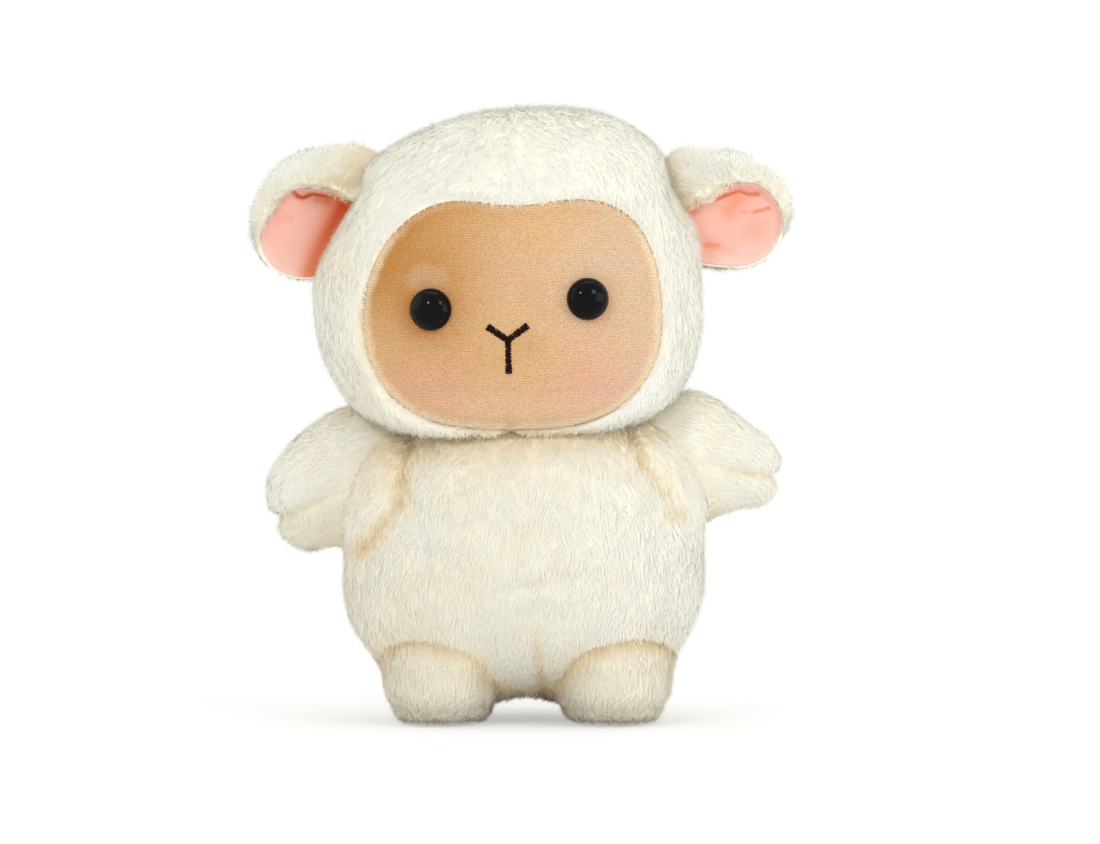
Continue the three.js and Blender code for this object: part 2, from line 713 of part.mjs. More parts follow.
const finish = (color, roughness) => new THREE.MeshStandardMaterial({ color, roughness, metalness: 0 });
const plush = finish(0xf1ecdc, 0.95);
const facePlush = finish(0xe3ba86, 0.9);
const liningPlush = finish(0xf6b3a2, 0.9);
const fibre = finish(0xf8f8f6, 1);
const glossBlack = finish(0x060606, 0.12);
const clearPlastic = finish(0xe9e9e4, 0.4);
const thread = finish(0x2c1512, 0.6);
const pouchCloth = finish(0xd8d2c4, 0.85);

// Assembly: each moving part is a group at its hinge

const sheep = new THREE.Group();

function bodyGroup(parent, matrix) {
  const group = new THREE.Group();
  matrix.decompose(group.position, group.quaternion, group.scale);
  parent.add(group);
  group.updateMatrixWorld(true);
  return group;
}

// Adds a solid made in the frame of another group, or of the sheep itself
function addMesh(group, name, body, material, madeIn = sheep) {
  group.updateMatrixWorld(true);
  const toGroup = group.matrixWorld.clone().invert().multiply(madeIn.matrixWorld);
  const mesh = new THREE.Mesh(geometryOf(body, toGroup), material);
  mesh.name = name;
  group.add(mesh);
}

const torsoGroup = bodyGroup(sheep, torsoPlace);
const torso = torsoPieces();
addMesh(torsoGroup, 'torso_front', torso.front, plush);
addMesh(torsoGroup, 'torso_back', torso.back, plush);
addMesh(torsoGroup, 'torso_filling', torso.filling, fibre);
addMesh(torsoGroup, 'pellet_pouch', torso.pouch, pouchCloth);
addMesh(torsoGroup, 'tail', tailPiece(), plush);

const headGroup = bodyGroup(sheep, headPlace);
const head = headPieces();
addMesh(headGroup, 'face_panel', head.face, facePlush, headGroup);
addMesh(headGroup, 'head_filling', head.filling, fibre, headGroup);
addMesh(headGroup, 'nose_embroidery', head.thread, thread, headGroup);

for (const side of Object.keys(SIDES)) {
  addMesh(headGroup, `hood_${side}`, head.hood[side], plush, headGroup);
  addMesh(headGroup, `eye_${side}`, head.eyes[side].eye, glossBlack, headGroup);
  addMesh(headGroup, `eye_washer_${side}`, head.eyes[side].washer, clearPlastic, headGroup);

  const { hinge: earHinge } = earPlace(side);
  const earGroup = bodyGroup(headGroup, moved(earHinge.x, earHinge.y, earHinge.z));
  const ear = earPieces(side);
  addMesh(earGroup, `ear_back_${side}`, ear.back, plush, headGroup);
  addMesh(earGroup, `ear_lining_${side}`, ear.lining, liningPlush, headGroup);

  const { shoulder } = armPlace(side);
  const armGroup = bodyGroup(sheep, moved(shoulder.x, shoulder.y, shoulder.z));
  const arm = armPieces(side);
  addMesh(armGroup, `arm_upper_${side}`, arm.upper, plush);
  addMesh(armGroup, `arm_lower_${side}`, arm.lower, plush);
  addMesh(armGroup, `arm_filling_${side}`, arm.filling, fibre);

  const { hinge: footHinge } = footParts(side);
  const footGroup = bodyGroup(sheep, moved(footHinge.x, footHinge.y, footHinge.z));
  const foot = footPieces(side);
  addMesh(footGroup, `foot_upper_${side}`, foot.upper, plush);
  addMesh(footGroup, `foot_sole_${side}`, foot.sole, plush);
  addMesh(footGroup, `foot_filling_${side}`, foot.filling, fibre);
}

// Stand the sheep over the origin: the middle of its box, with its soles on the floor
sheep.updateMatrixWorld(true);
const box = new THREE.Box3().setFromObject(sheep, true);
const boxMiddle = box.getCenter(new THREE.Vector3());
sheep.position.set(-boxMiddle.x, -boxMiddle.y, -box.min.z);
sheep.updateMatrixWorld(true);

export default sheep;
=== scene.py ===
import itertools
import json
import math
from types import SimpleNamespace

import bmesh
import bpy
import numpy as np
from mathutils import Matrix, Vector


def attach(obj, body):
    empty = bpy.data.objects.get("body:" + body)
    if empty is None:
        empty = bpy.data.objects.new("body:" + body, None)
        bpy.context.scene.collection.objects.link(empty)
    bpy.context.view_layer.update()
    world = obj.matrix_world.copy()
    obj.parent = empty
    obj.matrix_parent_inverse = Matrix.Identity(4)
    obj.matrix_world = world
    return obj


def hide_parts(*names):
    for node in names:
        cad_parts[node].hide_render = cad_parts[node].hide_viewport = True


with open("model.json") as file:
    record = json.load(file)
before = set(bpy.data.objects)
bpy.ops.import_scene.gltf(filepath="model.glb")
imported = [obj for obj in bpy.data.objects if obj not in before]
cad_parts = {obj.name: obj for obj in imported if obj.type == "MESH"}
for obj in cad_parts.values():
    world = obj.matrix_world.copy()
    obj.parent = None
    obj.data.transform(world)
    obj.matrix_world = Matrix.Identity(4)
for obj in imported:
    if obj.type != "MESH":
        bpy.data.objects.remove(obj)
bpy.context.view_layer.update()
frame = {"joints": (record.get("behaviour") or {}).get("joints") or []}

MM = 0.001
SIDES = {"left": 1, "right": -1}
DOWN = np.array([0.0, 0.0, -1.0])
rng = np.random.default_rng(20)
DENSITY_SHARE = 1.0

# Sizes of the construction, as in the solid model

TORSO_LIFT = 11
SEAT_TO_WAIST = 47
WAIST_TO_CROWN = 74
CHEEK_TO_CROWN = 77
CHEEK_TO_CHIN = 51
CHIN_DRAWN_IN = 0.6
HEAD_ASIDE = -5.3
HEAD_FORWARD = 3
HEAD_ROLL_DEG = -1.5
FACE_RECESS = 4
FACE_HALF_WIDTH = 57.8
FACE_HALF_HEIGHT = 44
FACE_DROP = 4
FACE_EDGE_SHARES = [
    (0, 0.95), (0.5, 1), (0.76, 0.9), (0.885, 0.68), (0.96, 0.38),
    (1, -0.13), (0.95, -0.53), (0.79, -0.78), (0.5, -0.94), (0, -1),
]
EYE_RADIUS = 8
EYE_DOME = 6.4
EYE_SPREAD = 29.4
EYES_ASIDE = -0.6
EYE_RISE = {"left": 3, "right": 0.6}
EAR_FRONT = 13
EAR_BACK = 10
EAR_FULLNESS = 2.6
EAR_BEHIND = 4
EARS = {
    "left": SimpleNamespace(half_length=28, half_height=24, out=82, rise=36, tilt_deg=8),
    "right": SimpleNamespace(half_length=30, half_height=25, out=70.3, rise=36, tilt_deg=-12),
}
ARM_FLATNESS = 0.84
ARM_SEAM_PINCH = 2.4
ARM_SEAM_WIDTH = 5
ARMS = {
    "left": SimpleNamespace(root=24.5, tip=15.5, length=27.5, droop_deg=9.5),
    "right": SimpleNamespace(root=26.5, tip=18, length=24.5, droop_deg=24),
}
FOOT_FRONT = 40
FOOT_BACK = 28
FOOT_TOP = 16
FOOT_PLAN_FULLNESS = 2.5
SOLE_SEAM_RISE = 8
FOOT_HALF_WIDTH = {"left": 24, "right": 23.5}
TAIL_RADIUS = 11
TAIL_LENGTH = 15
TAIL_DROP_DEG = 25
TAIL_BELOW_WAIST = 12
TAIL_BEHIND_WAIST = 52

joint_at = {joint["name"]: np.array(joint["pos_m"]) / MM for joint in frame["joints"]}
head_middle = joint_at["head_nod"]
torso_middle = np.array([
    head_middle[0] - HEAD_ASIDE, head_middle[1] + HEAD_FORWARD, TORSO_LIFT + SEAT_TO_WAIST,
])


# Vectors and noise

def turn_about_x(degrees):
    cos, sin = math.cos(math.radians(degrees)), math.sin(math.radians(degrees))
    return np.array([[1, 0, 0], [0, cos, -sin], [0, sin, cos]])


def turn_about_y(degrees):
    cos, sin = math.cos(math.radians(degrees)), math.sin(math.radians(degrees))
    return np.array([[cos, 0, sin], [0, 1, 0], [-sin, 0, cos]])


def unit(vectors):
    return vectors / np.maximum(np.linalg.norm(vectors, axis=-1, keepdims=True), 1e-9)


def signed_power(values, power):
    return np.sign(values) * np.abs(values) ** power


def smooth_step(low, high, values):
    """0 at low and 1 at high, with a smooth rise between them; low may be above high."""
    part = np.clip((values - low) / (high - low), 0, 1)
    return part * part * (3 - 2 * part)


def bump(distance, width):
    """1 at no distance, and next to nothing from twice the width on."""
    return np.exp(-((distance / width) ** 2))


def fading(gap, reach):
    """1 where a gap closes, and less the wider it is."""
    return np.exp(-np.clip(gap, 0, None) / reach)


def outline_size(across, along, fullness):
    """1 on a rounded outline of half width and half length 1, and less inside it."""
    return (np.abs(across) ** fullness + np.abs(along) ** fullness) ** (1 / fullness)


def scattered(cells, seed):
    """A pseudo-random number from 0 to 1 for each whole-numbered cell."""
    n = cells @ np.array([374761393, 668265263, 1440662683]) + seed * 97611
    n = (n ^ (n >> 13)) * 1274126177
    return ((n ^ (n >> 16)) & 0xFFFFFF) / 0xFFFFFF


def noise(points, size, seed, height=1.0):
    """Smooth noise from minus to plus height, with bumps about size across."""
    scaled = points / size
    low = np.floor(scaled).astype(np.int64)
    part = scaled - low
    part = part * part * (3 - 2 * part)
    total = np.zeros(len(points))
    for corner in itertools.product((0, 1), repeat=3):
        weight = np.prod(np.where(corner, part, 1 - part), axis=1)
        total += weight * scattered(low + np.array(corner), seed)
    return height * (2 * total - 1)


def noise_vectors(points, size, seed):
    return np.stack([noise(points, size, seed + k) for k in range(3)], axis=1)


def mottle(points, layers):
    """Layers of noise added up, each given as its size, seed and height."""
    return sum(noise(points, *layer) for layer in layers)


def weighed(weights, parts):
    """The sum of named parts, each times its weight."""
    return sum(weights[name] * part for name, part in parts.items())


# Rounded forms

HEAD_TURN = turn_about_y(HEAD_ROLL_DEG)


def form(middle, half_width, front, back, top, bottom, top_full=2.0, bottom_full=2.0,
         plan_full=2.0, drawn_in=1.0, turn=np.eye(3)):
    """A rounded form. A fullness is 2 for an ellipse, and more for squarer shoulders."""
    return SimpleNamespace(
        middle=middle, half_width=half_width, front=front, back=back, top=top, bottom=bottom,
        top_full=top_full, bottom_full=bottom_full, plan_full=plan_full, drawn_in=drawn_in, turn=turn,
    )


def extents(shape, y, z):
    """A form's depth, height and fullness on each point's side of its middle."""
    return (
        np.where(y < 0, shape.front, shape.back), np.where(z > 0, shape.top, shape.bottom),
        np.where(z > 0, shape.top_full, shape.bottom_full),
    )


def local_points(shape, directions, growth):
    """Where a form's surface lies in each direction of a unit sphere, in the form's own frame."""
    x, y, up = directions.T
    bearing = np.arctan2(-y, x)
    depth, height, full = extents(shape, y, up)
    reach = np.hypot(x, y) ** (2 / full)
    inward = np.where(up > 0, 1.0, shape.drawn_in)
    plan = 2 / shape.plan_full
    return np.stack([
        (shape.half_width + growth) * reach * signed_power(np.cos(bearing), plan),
        -(depth + growth) * reach ** inward * signed_power(np.sin(bearing), plan),
        (height + growth) * signed_power(up, 2 / full),
    ], axis=1)


def placed(shape, points):
    """Points from a form's own frame, in the scene's frame."""
    return points @ shape.turn.T + shape.middle


def in_frame_of(shape, points):
    return (points - shape.middle) @ shape.turn


def outside(shape, points):
    """Roughly how far points lie outside a form, and below zero inside it."""
    x, y, z = in_frame_of(shape, points).T
    depth, height, full = extents(shape, y, z)
    across = outline_size(x / shape.half_width, y / depth, shape.plan_full)
    size = outline_size(across, z / height, full)
    distance = np.sqrt(x * x + y * y + z * z)
    return distance * (1 - 1 / np.maximum(size, 1e-6))


def front_of(shape, growth, x, z):
    """How far in front of its middle a form's surface lies, at the place x, z."""
    height, full = extents(shape, 0, z)[1:]
    reach = np.maximum(1 - (np.abs(z) / (height + growth)) ** full, 0) ** (1 / full)
    half = (shape.half_width + growth) * np.maximum(reach, 1e-6)
    across = np.minimum(np.abs(x) / half, 1) ** shape.plan_full
    inward = np.where(z > 0, 1.0, shape.drawn_in)
    return (shape.front + growth) * reach ** inward * (1 - across) ** (1 / shape.plan_full)


def foot_form(side):
    middle = joint_at[f"foot_swing_{side}"]
    return form(
        middle, FOOT_HALF_WIDTH[side], FOOT_FRONT, FOOT_BACK, top=FOOT_TOP, bottom=middle[2] + 0.5,
        bottom_full=3.4, plan_full=FOOT_PLAN_FULLNESS,
    )


def ear_form(side):
    ear = EARS[side]
    middle = placed(head_form, np.array([SIDES[side] * ear.out, EAR_BEHIND, ear.rise]))
    return form(
        middle, ear.half_length, EAR_FRONT, EAR_BACK, ear.half_height, ear.half_height,
        EAR_FULLNESS, EAR_FULLNESS, turn=HEAD_TURN @ turn_about_y(ear.tilt_deg),
    )


torso_form = form(
    torso_middle, half_width=70, front=57, back=52, top=WAIST_TO_CROWN, bottom=SEAT_TO_WAIST,
    top_full=2.3, bottom_full=2.6, plan_full=2.2,
)
head_form = form(
    head_middle, half_width=75.5, front=60, back=56, top=CHEEK_TO_CROWN, bottom=CHEEK_TO_CHIN,
    top_full=2.5, bottom_full=3, plan_full=2.3, drawn_in=CHIN_DRAWN_IN, turn=HEAD_TURN,
)
foot_forms = {side: foot_form(side) for side in SIDES}
ear_forms = {side: ear_form(side) for side in SIDES}


# Arms: a round root, a taper and a round tip, along an axis that droops from the shoulder

def arm_axes(side):
    droop = math.radians(ARMS[side].droop_deg)
    sign = SIDES[side]
    along = np.array([sign * math.cos(droop), 0, -math.sin(droop)])
    up = np.array([sign * math.sin(droop), 0, math.cos(droop)])
    return joint_at[f"arm_swing_{side}"], along, up


def arm_radius(side, s, growth):
    """The arm's half height, s along its axis from the shoulder."""
    arm = ARMS[side]
    root, tip = arm.root + growth, arm.tip + growth
    lean = math.asin((root - tip) / arm.length)
    root_end = root * math.sin(lean)
    tip_start = arm.length + tip * math.sin(lean)
    on_root = np.sqrt(np.maximum(root ** 2 - s ** 2, 0))
    on_tip = np.sqrt(np.maximum(tip ** 2 - (s - arm.length) ** 2, 0))
    taper = root * math.cos(lean) - (s - root_end) * math.tan(lean)
    return np.where(s < root_end, on_root, np.where(s > tip_start, on_tip, taper))


def outside_arm(side, points):
    shoulder, along, up = arm_axes(side)
    away = points - shoulder
    s, h, d = away @ along, away @ up, away[:, 1] / ARM_FLATNESS
    arm = ARMS[side]
    middle = np.clip(s, 0, arm.length)
    radius = arm.root + (arm.tip - arm.root) * middle / arm.length
    return np.sqrt((s - middle) ** 2 + h ** 2 + d ** 2) - radius


# Meshes

def mesh_object(name, points, faces, smooth=True):
    """An object from points in millimetres."""
    mesh = bpy.data.meshes.new(name)
    mesh.from_pydata((np.asarray(points) * MM).tolist(), [], [list(face) for face in faces])
    mesh.update()
    if smooth:
        mesh.polygons.foreach_set("use_smooth", np.ones(len(mesh.polygons), bool))
    return linked(bpy.data.objects.new(name, mesh))


def linked(thing):
    bpy.context.scene.collection.objects.link(thing)
    return thing


def icosphere(subdivisions):
    """The directions and triangles of a finely divided ball."""
    ball = bmesh.new()
    bmesh.ops.create_icosphere(ball, subdivisions=subdivisions, radius=1)
    points = np.array([v.co for v in ball.verts])
    faces = np.array([[v.index for v in f.verts] for f in ball.faces])
    ball.free()
    return SimpleNamespace(points=points, faces=faces)


FINE = icosphere(6)
SMALL = icosphere(5)


def ring_faces(rings, turns, first=0):
    """The four-cornered faces between rings of points, of which first is the first."""
    faces = []
    for low in range(first, first + (rings - 1) * turns, turns):
        for k in range(turns):
            after = (k + 1) % turns
            faces.append((low + k, low + after, low + turns + after, low + turns + k))
    return faces


def normals_of(points, faces):
    """The normal at each point of a triangle mesh."""
    a, b, c = (points[faces[:, k]] for k in range(3))
    across = np.cross(b - a, c - a)
    total = np.zeros_like(points)
    for k in range(3):
        np.add.at(total, faces[:, k], across)
    return unit(total)


def part_of(points, faces, keep):
    """The faces whose points are all kept, with only the points that they use."""
    faces = faces[keep[faces].all(axis=1)]
    used, renumbered = np.unique(faces, return_inverse=True)
    return points[used], renumbered.reshape(faces.shape)


def dress(thing, material, body, replaced):
    """Give a piece its material, its body and the solids that it stands for."""
    thing.data.materials.append(material)
    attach(thing, body)
    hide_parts(*replaced)


# Material nodes

def new_material(name, values):
    """A material with its node tree and its shader, on whose sockets the values are set."""
    material = bpy.data.materials.new(name)
    material.use_nodes = True
    shader = material.node_tree.nodes["Principled BSDF"]
    for key, value in values.items():
        shader.inputs[key].default_value = value
    return material, material.node_tree, shader


def add_node(tree, kind, inputs=None, **settings):
    """A node with its inputs filled, each with a value or from another node's output."""
    node = tree.nodes.new(kind)
    for key, value in settings.items():
        setattr(node, key, value)
    for key, value in (inputs or {}).items():
        if isinstance(value, bpy.types.NodeSocket):
            tree.links.new(value, node.inputs[key])
        else:
            node.inputs[key].default_value = value
    return node


def own_coordinates(tree):
    return add_node(tree, "ShaderNodeTexCoord").outputs["Object"]


def grain(tree, scale, detail, roughness=0.5):
    """Noise from 0 to 1 over the object's own coordinates."""
    inputs = {
        "Vector": own_coordinates(tree), "Scale": scale, "Detail": detail, "Roughness": roughness,
    }
    return add_node(tree, "ShaderNodeTexNoise", inputs).outputs["Fac"]


def math_result(tree, operation, *inputs, **settings):
    """The outcome of a math node."""
    inputs = dict(enumerate(inputs))
    node = add_node(tree, "ShaderNodeMath", inputs, operation=operation, **settings)
    return node.outputs[0]


def ranged(tree, value, span, to=(0, 1), **settings):
    """A value mapped from one span to another."""
    inputs = {
        "Value": value, "From Min": span[0], "From Max": span[1], "To Min": to[0], "To Max": to[1],
    }
    return add_node(tree, "ShaderNodeMapRange", inputs, **settings).outputs[0]


def mixed(tree, share, first, second, **settings):
    """Two colours mixed, each an output or red, green and blue."""
    colours = [c if isinstance(c, bpy.types.NodeSocket) else (*c, 1) for c in (first, second)]
    inputs = {0: share, 6: colours[0], 7: colours[1]}
    return add_node(tree, "ShaderNodeMix", inputs, data_type="RGBA", **settings).outputs[2]


def colour_ramp(tree, value, stops):
    """A ramp through the given colours, by their places from 0 to 1."""
    ramp = add_node(tree, "ShaderNodeValToRGB", {0: value})
    marks = ramp.color_ramp.elements
    while len(marks) < len(stops):
        marks.new(1)
    for mark, (place, colour) in zip(marks, sorted(stops.items())):
        mark.position = place
        mark.color = (*colour, 1)
    return ramp.outputs[0]


def tint(thing, name, values):
    """A value from 0 to 1 at each point of a mesh, for its material."""
    layer = thing.data.attributes.new(name, "FLOAT", "POINT")
    layer.data.foreach_set("value", np.clip(values, 0, 1).astype(np.float32))


def tinted(tree, colour, shades):
    """A colour with each named tint mixed over it."""
    for name, shade in shades.items():
        layer = add_node(tree, "ShaderNodeAttribute", attribute_name=name)
        colour = mixed(tree, layer.outputs["Fac"], colour, shade)
    return colour


KNIT_AXES = (("Z", 1.0), ("X", 1.3))  # rows run across, and a loop is wider than a row is high
KNIT_WOBBLE = (260.0, 3.0)  # scale and detail
KNIT_WOBBLE_RADIANS = 13
KNIT_SPECKLE = (1500.0, 2.0)
KNIT_SPECKLE_HEIGHT = 6
KNIT_LOOP_HEIGHT = 0.2
KNIT_SHADE_SPAN = (1.6, 4.6)
KNIT_RAISE = {"Strength": 0.35, "Distance": 0.00012}


def knit(tree, shader, pitch_mm, colour, dark, strength):
    """Fine rows of small loops: they darken a colour a little and raise a bump."""
    wobble = grain(tree, *KNIT_WOBBLE)
    parts = add_node(tree, "ShaderNodeSeparateXYZ", {0: own_coordinates(tree)})
    waves = []
    for axis, share in KNIT_AXES:
        turn = 2 * math.pi / (pitch_mm * share * MM)
        angle = math_result(tree, "MULTIPLY", parts.outputs[axis], turn)
        bent = math_result(tree, "MULTIPLY_ADD", wobble, KNIT_WOBBLE_RADIANS, angle)
        waves.append(math_result(tree, "SINE", bent))
    loops = math_result(tree, "MULTIPLY_ADD", waves[1], KNIT_LOOP_HEIGHT, waves[0])
    speckle = grain(tree, *KNIT_SPECKLE)
    height = math_result(tree, "MULTIPLY_ADD", speckle, KNIT_SPECKLE_HEIGHT, loops)
    share = ranged(tree, height, KNIT_SHADE_SPAN, (strength, 0))
    tree.links.new(mixed(tree, share, colour, dark, blend_type="MULTIPLY"), shader.inputs["Base Color"])
    raised = add_node(tree, "ShaderNodeBump", {**KNIT_RAISE, "Height": height})
    tree.links.new(raised.outputs[0], shader.inputs["Normal"])


# Materials

CLOTH = {"Roughness": 0.9, "Specular IOR Level": 0.1}
SHORT_PILE = {**CLOTH, "Sheen Weight": 0.08}
LONG_PILE = {"Roughness": 0.75, "Specular IOR Level": 0.15, "Sheen Weight": 0.5}
# fur colours, from cool over golden to brown; the golden and brown stops are painted shade, where the
# pile lies in creases and shadows and under the sheep
FUR_ROOT = {
    0: (0.95, 0.96, 0.88), 0.25: (0.95, 0.91, 0.76), 0.6: (0.88, 0.71, 0.42), 1: (0.52, 0.34, 0.13),
}
FUR_TIP = {
    0: (0.96, 0.97, 0.93), 0.25: (0.96, 0.93, 0.82), 0.6: (0.92, 0.79, 0.54), 1: (0.68, 0.48, 0.24),
}
# painted shade: the ears' pile is drawn in a darker copy of the fur colours
EAR_FUR_SHADE_LEVEL = 0.9
LINING_FUR_ROOT = {0: (0.88, 0.45, 0.37), 1: (0.9, 0.5, 0.42)}
LINING_FUR_TIP = {0: (0.92, 0.62, 0.54), 1: (0.95, 0.74, 0.66)}
STRAND_MAP_HEIGHT = 0.2
STRAND_MAP_WIDTH = 0.004
BACKING_COLOURS = (0.88, 0.84, 0.72), (0.94, 0.92, 0.83)
BACKING_GRAIN = (900.0, 2.0)
FACE_COLOURS = (0.715, 0.48, 0.262), (0.75, 0.545, 0.32)
FACE_GRAIN = (38.0, 4.0, 0.6)  # scale, detail and roughness
FACE_PATCH_SPAN = (0.36, 0.66)
# the shade tint is painted shade, and the fuzz tint is partly painted light along the rim
FACE_TINTS = {
    "ochre": (0.53, 0.28, 0.082),
    "pale": (0.71, 0.55, 0.41),
    "blush": (0.78, 0.43, 0.35),
    "shade": (0.45, 0.17, 0.035),
    "fuzz": (0.86, 0.74, 0.55),
}
FACE_KNIT = {"pitch_mm": 0.8, "dark": (0.74, 0.55, 0.39), "strength": 0.9}
LINING_COLOURS = (0.88, 0.475, 0.395), (0.9, 0.555, 0.48)
LINING_GRAIN = (70.0, 4.0)
# painted shade in the fold and deep tints, along the head and in the folds; painted light in the pale
# tint, low in the hollow
LINING_TINTS = {"pale": (0.96, 0.66, 0.6), "fold_shade": (0.87, 0.31, 0.18), "deep_shade": (0.6, 0.1, 0.03)}
LINING_KNIT = {"pitch_mm": 0.55, "dark": (0.93, 0.8, 0.76), "strength": 0.5}
EYE_SURFACE = {"Base Color": (0.001, 0.001, 0.0012, 1), "Specular IOR Level": 0.12}
EYE_GRAIN = (900.0, 3.0)
EYE_ROUGHNESS = (0.02, 0.06)
THREAD_SURFACE = {"Roughness": 0.6, "Specular IOR Level": 0.06}
THREAD_COLOURS = (0.01, 0.002, 0.002), (0.025, 0.007, 0.006)
THREAD_GRAIN = (1400.0, 2.0)


def fur_material(name, root, tip, level=1.0):
    """Colour by the strand's own map: U runs from root to tip, and V is the warmth with its painted
    shade.
    """
    material, tree, shader = new_material(name, LONG_PILE)
    place = add_node(tree, "ShaderNodeUVMap", uv_map="OFBake")
    parts = add_node(tree, "ShaderNodeSeparateXYZ", {0: place.outputs[0]})
    height = ranged(tree, parts.outputs["X"], (0, STRAND_MAP_HEIGHT))
    colours = []
    for stops in (root, tip):
        shown = {at: tuple(level * part for part in colour) for at, colour in stops.items()}
        colours.append(colour_ramp(tree, parts.outputs["Y"], shown))
    tree.links.new(mixed(tree, height, *colours), shader.inputs["Base Color"])
    return material


def speckled_material(name, surface, grain_of, colours):
    """Two colours mixed by a fine grain."""
    material, tree, shader = new_material(name, surface)
    tree.links.new(mixed(tree, grain(tree, *grain_of), *colours), shader.inputs["Base Color"])
    return material


def face_material():
    material, tree, shader = new_material("face_knit", SHORT_PILE)
    patches = ranged(tree, grain(tree, *FACE_GRAIN), FACE_PATCH_SPAN)
    colour = tinted(tree, mixed(tree, patches, *FACE_COLOURS), FACE_TINTS)
    knit(tree, shader, colour=colour, **FACE_KNIT)
    return material


def lining_material(side):
    material, tree, shader = new_material(f"ear_velour_{side}", SHORT_PILE)
    colour = tinted(tree, mixed(tree, grain(tree, *LINING_GRAIN), *LINING_COLOURS), LINING_TINTS)
    knit(tree, shader, colour=colour, **LINING_KNIT)
    return material


def eye_material():
    material, tree, shader = new_material("eye_gloss", EYE_SURFACE)
    rough = ranged(tree, grain(tree, *EYE_GRAIN), (0, 1), EYE_ROUGHNESS)
    tree.links.new(rough, shader.inputs["Roughness"])
    return material


fur = fur_material("fur", FUR_ROOT, FUR_TIP)
# a darker copy of the fur, as painted shade on the ears' pile
shaded_ear_fur = fur_material("shaded_ear_fur", FUR_ROOT, FUR_TIP, EAR_FUR_SHADE_LEVEL)
lining_fur = fur_material("lining_fur", LINING_FUR_ROOT, LINING_FUR_TIP)
backing = speckled_material("plush_backing", CLOTH, BACKING_GRAIN, BACKING_COLOURS)


# Skins: the backing of each plush panel

PILE_DEPTH = 1.5  # how deep the backing lies below the combed tips
PANEL_OVERLAP = 3  # how far the backings of two panels run on beyond the seam between them
PANEL_TUCK = 0.4
SEAM_FULLNESS = 2.2
SEAM_REACH = 4.5


def skin_of(shape, growth, dents=None, ball=FINE):
    """A form's surface, moved outward by its dents, as points and faces."""
    points = placed(shape, local_points(shape, ball.points, growth))
    if dents is not None:
        points = points + normals_of(points, ball.faces) * dents(points)[:, None]
    return points, ball.faces


def seam_fullness(gap):
    """How far the pile stands up beside the seam to another part of the sheep."""
    return SEAM_FULLNESS * fading(gap, SEAM_REACH)


# Strands of pile

PILE_LENGTH = 3.9
PILE_LEAN = (1.24, 1.5)  # radians from the normal, at the root and near the tip
STRAND_WIDTH = 0.22
STRAND_MIDDLE_WIDTH = 0.8  # as a share of the root's
LENGTHS = (0.75, 1.1)
WIDTHS = (0.75, 1.2)
WARMTH_AND_SHADE_SPAN = (0.03, 0.97)
LENGTH_NOISE = (5, 23, 0.1)  # size, seed and height
RISE_SPREAD = 0.07
RISES = (0.6, 1.1)  # the least and the greatest share of the lean that a strand takes
UNCOMBED_RISE = 0.6  # the share of it where the comb gives no direction
STRAY_SHARE = 0.07  # of the strands, those that stand up from the rest
STRAY_RISE = 0.66
SWIRL = 0.4
SWIRL_NOISE = (9, 11)  # size and seed
FRIZZ = 0.2
KINK = 0.1
SPIN = 0.15
GATHER = 0.06
GATHER_NOISE = (2.6, 37)
GATHER_SHARES = {1: 0.35, 2: 1}  # of a strand's middle and its tip
NOISE_IN_LOOKS = 0.04
GATHER_IN_LOOKS = 0.05
HIDDEN_SPAN = (-9, -6)  # how deep inside another part a panel's pile fades out
ROOT_SPAN = (-7, -5)  # the same at the root of an ear and of the tail
# a ribbon has a face with four corners and one with three, and the lists run through these seven
RIBBON_CORNERS = 5
RIBBON_LOOPS = np.array([0, 1, 3, 2, 2, 3, 4])
RIBBON_STARTS = np.array([0, 4])
RIBBON_HEIGHTS = np.array([0, 0, 0.5, 0.5, 0.5, 0.5, 1])
RIBBON_ACROSS = np.array([-1, 1, 1, -1, -1, 1, 0])


def rooted(points, faces, per_square_mm, weight):
    """Random places on a triangle mesh: points and their normals."""
    normals = normals_of(points, faces)
    a, b, c = (points[faces[:, k]] for k in range(3))
    area = np.linalg.norm(np.cross(b - a, c - a), axis=1) / 2
    area = area * np.clip(weight((a + b + c) / 3), 0, None)
    count = int(area.sum() * per_square_mm * DENSITY_SHARE)
    chosen = rng.choice(len(faces), count, p=area / area.sum())
    share = rng.random((count, 2))
    share = np.where(share.sum(axis=1, keepdims=True) > 1, 1 - share, share)
    shares = np.stack([1 - share.sum(axis=1), share[:, 0], share[:, 1]], axis=1)
    corners = faces[chosen]
    where = (points[corners] * shares[:, :, None]).sum(axis=1)
    facing = unit((normals[corners] * shares[:, :, None]).sum(axis=1))
    return where, facing


def bent_over(roots, normals, flow, lean, length):
    """The root, middle and tip of strands that rise from their roots and bend over along flow."""
    count = len(roots)
    swirl = SWIRL * noise_vectors(roots, *SWIRL_NOISE)
    flow = flow + swirl + FRIZZ * rng.normal(size=(count, 3))
    flow = flow - normals * (flow * normals).sum(axis=1, keepdims=True)
    strength = smooth_step(0, 0.35, np.linalg.norm(flow, axis=1))
    flow = unit(flow)
    long = length(roots) if callable(length) else np.full(count, float(length))
    long = long * (1 + noise(roots, *LENGTH_NOISE)) * rng.uniform(*LENGTHS, count)
    rise = np.clip(rng.normal(1, RISE_SPREAD, count), *RISES)
    rise = rise * (UNCOMBED_RISE + (1 - UNCOMBED_RISE) * strength)
    rise = rise * np.where(rng.random(count) < STRAY_SHARE, STRAY_RISE, 1)
    points = [roots]
    for angle in lean:
        step = normals * np.cos(angle * rise)[:, None] + flow * np.sin(angle * rise)[:, None]
        step = unit(step + KINK * rng.normal(size=(count, 3)))
        points.append(points[-1] + step * (long / 2)[:, None])
    return points


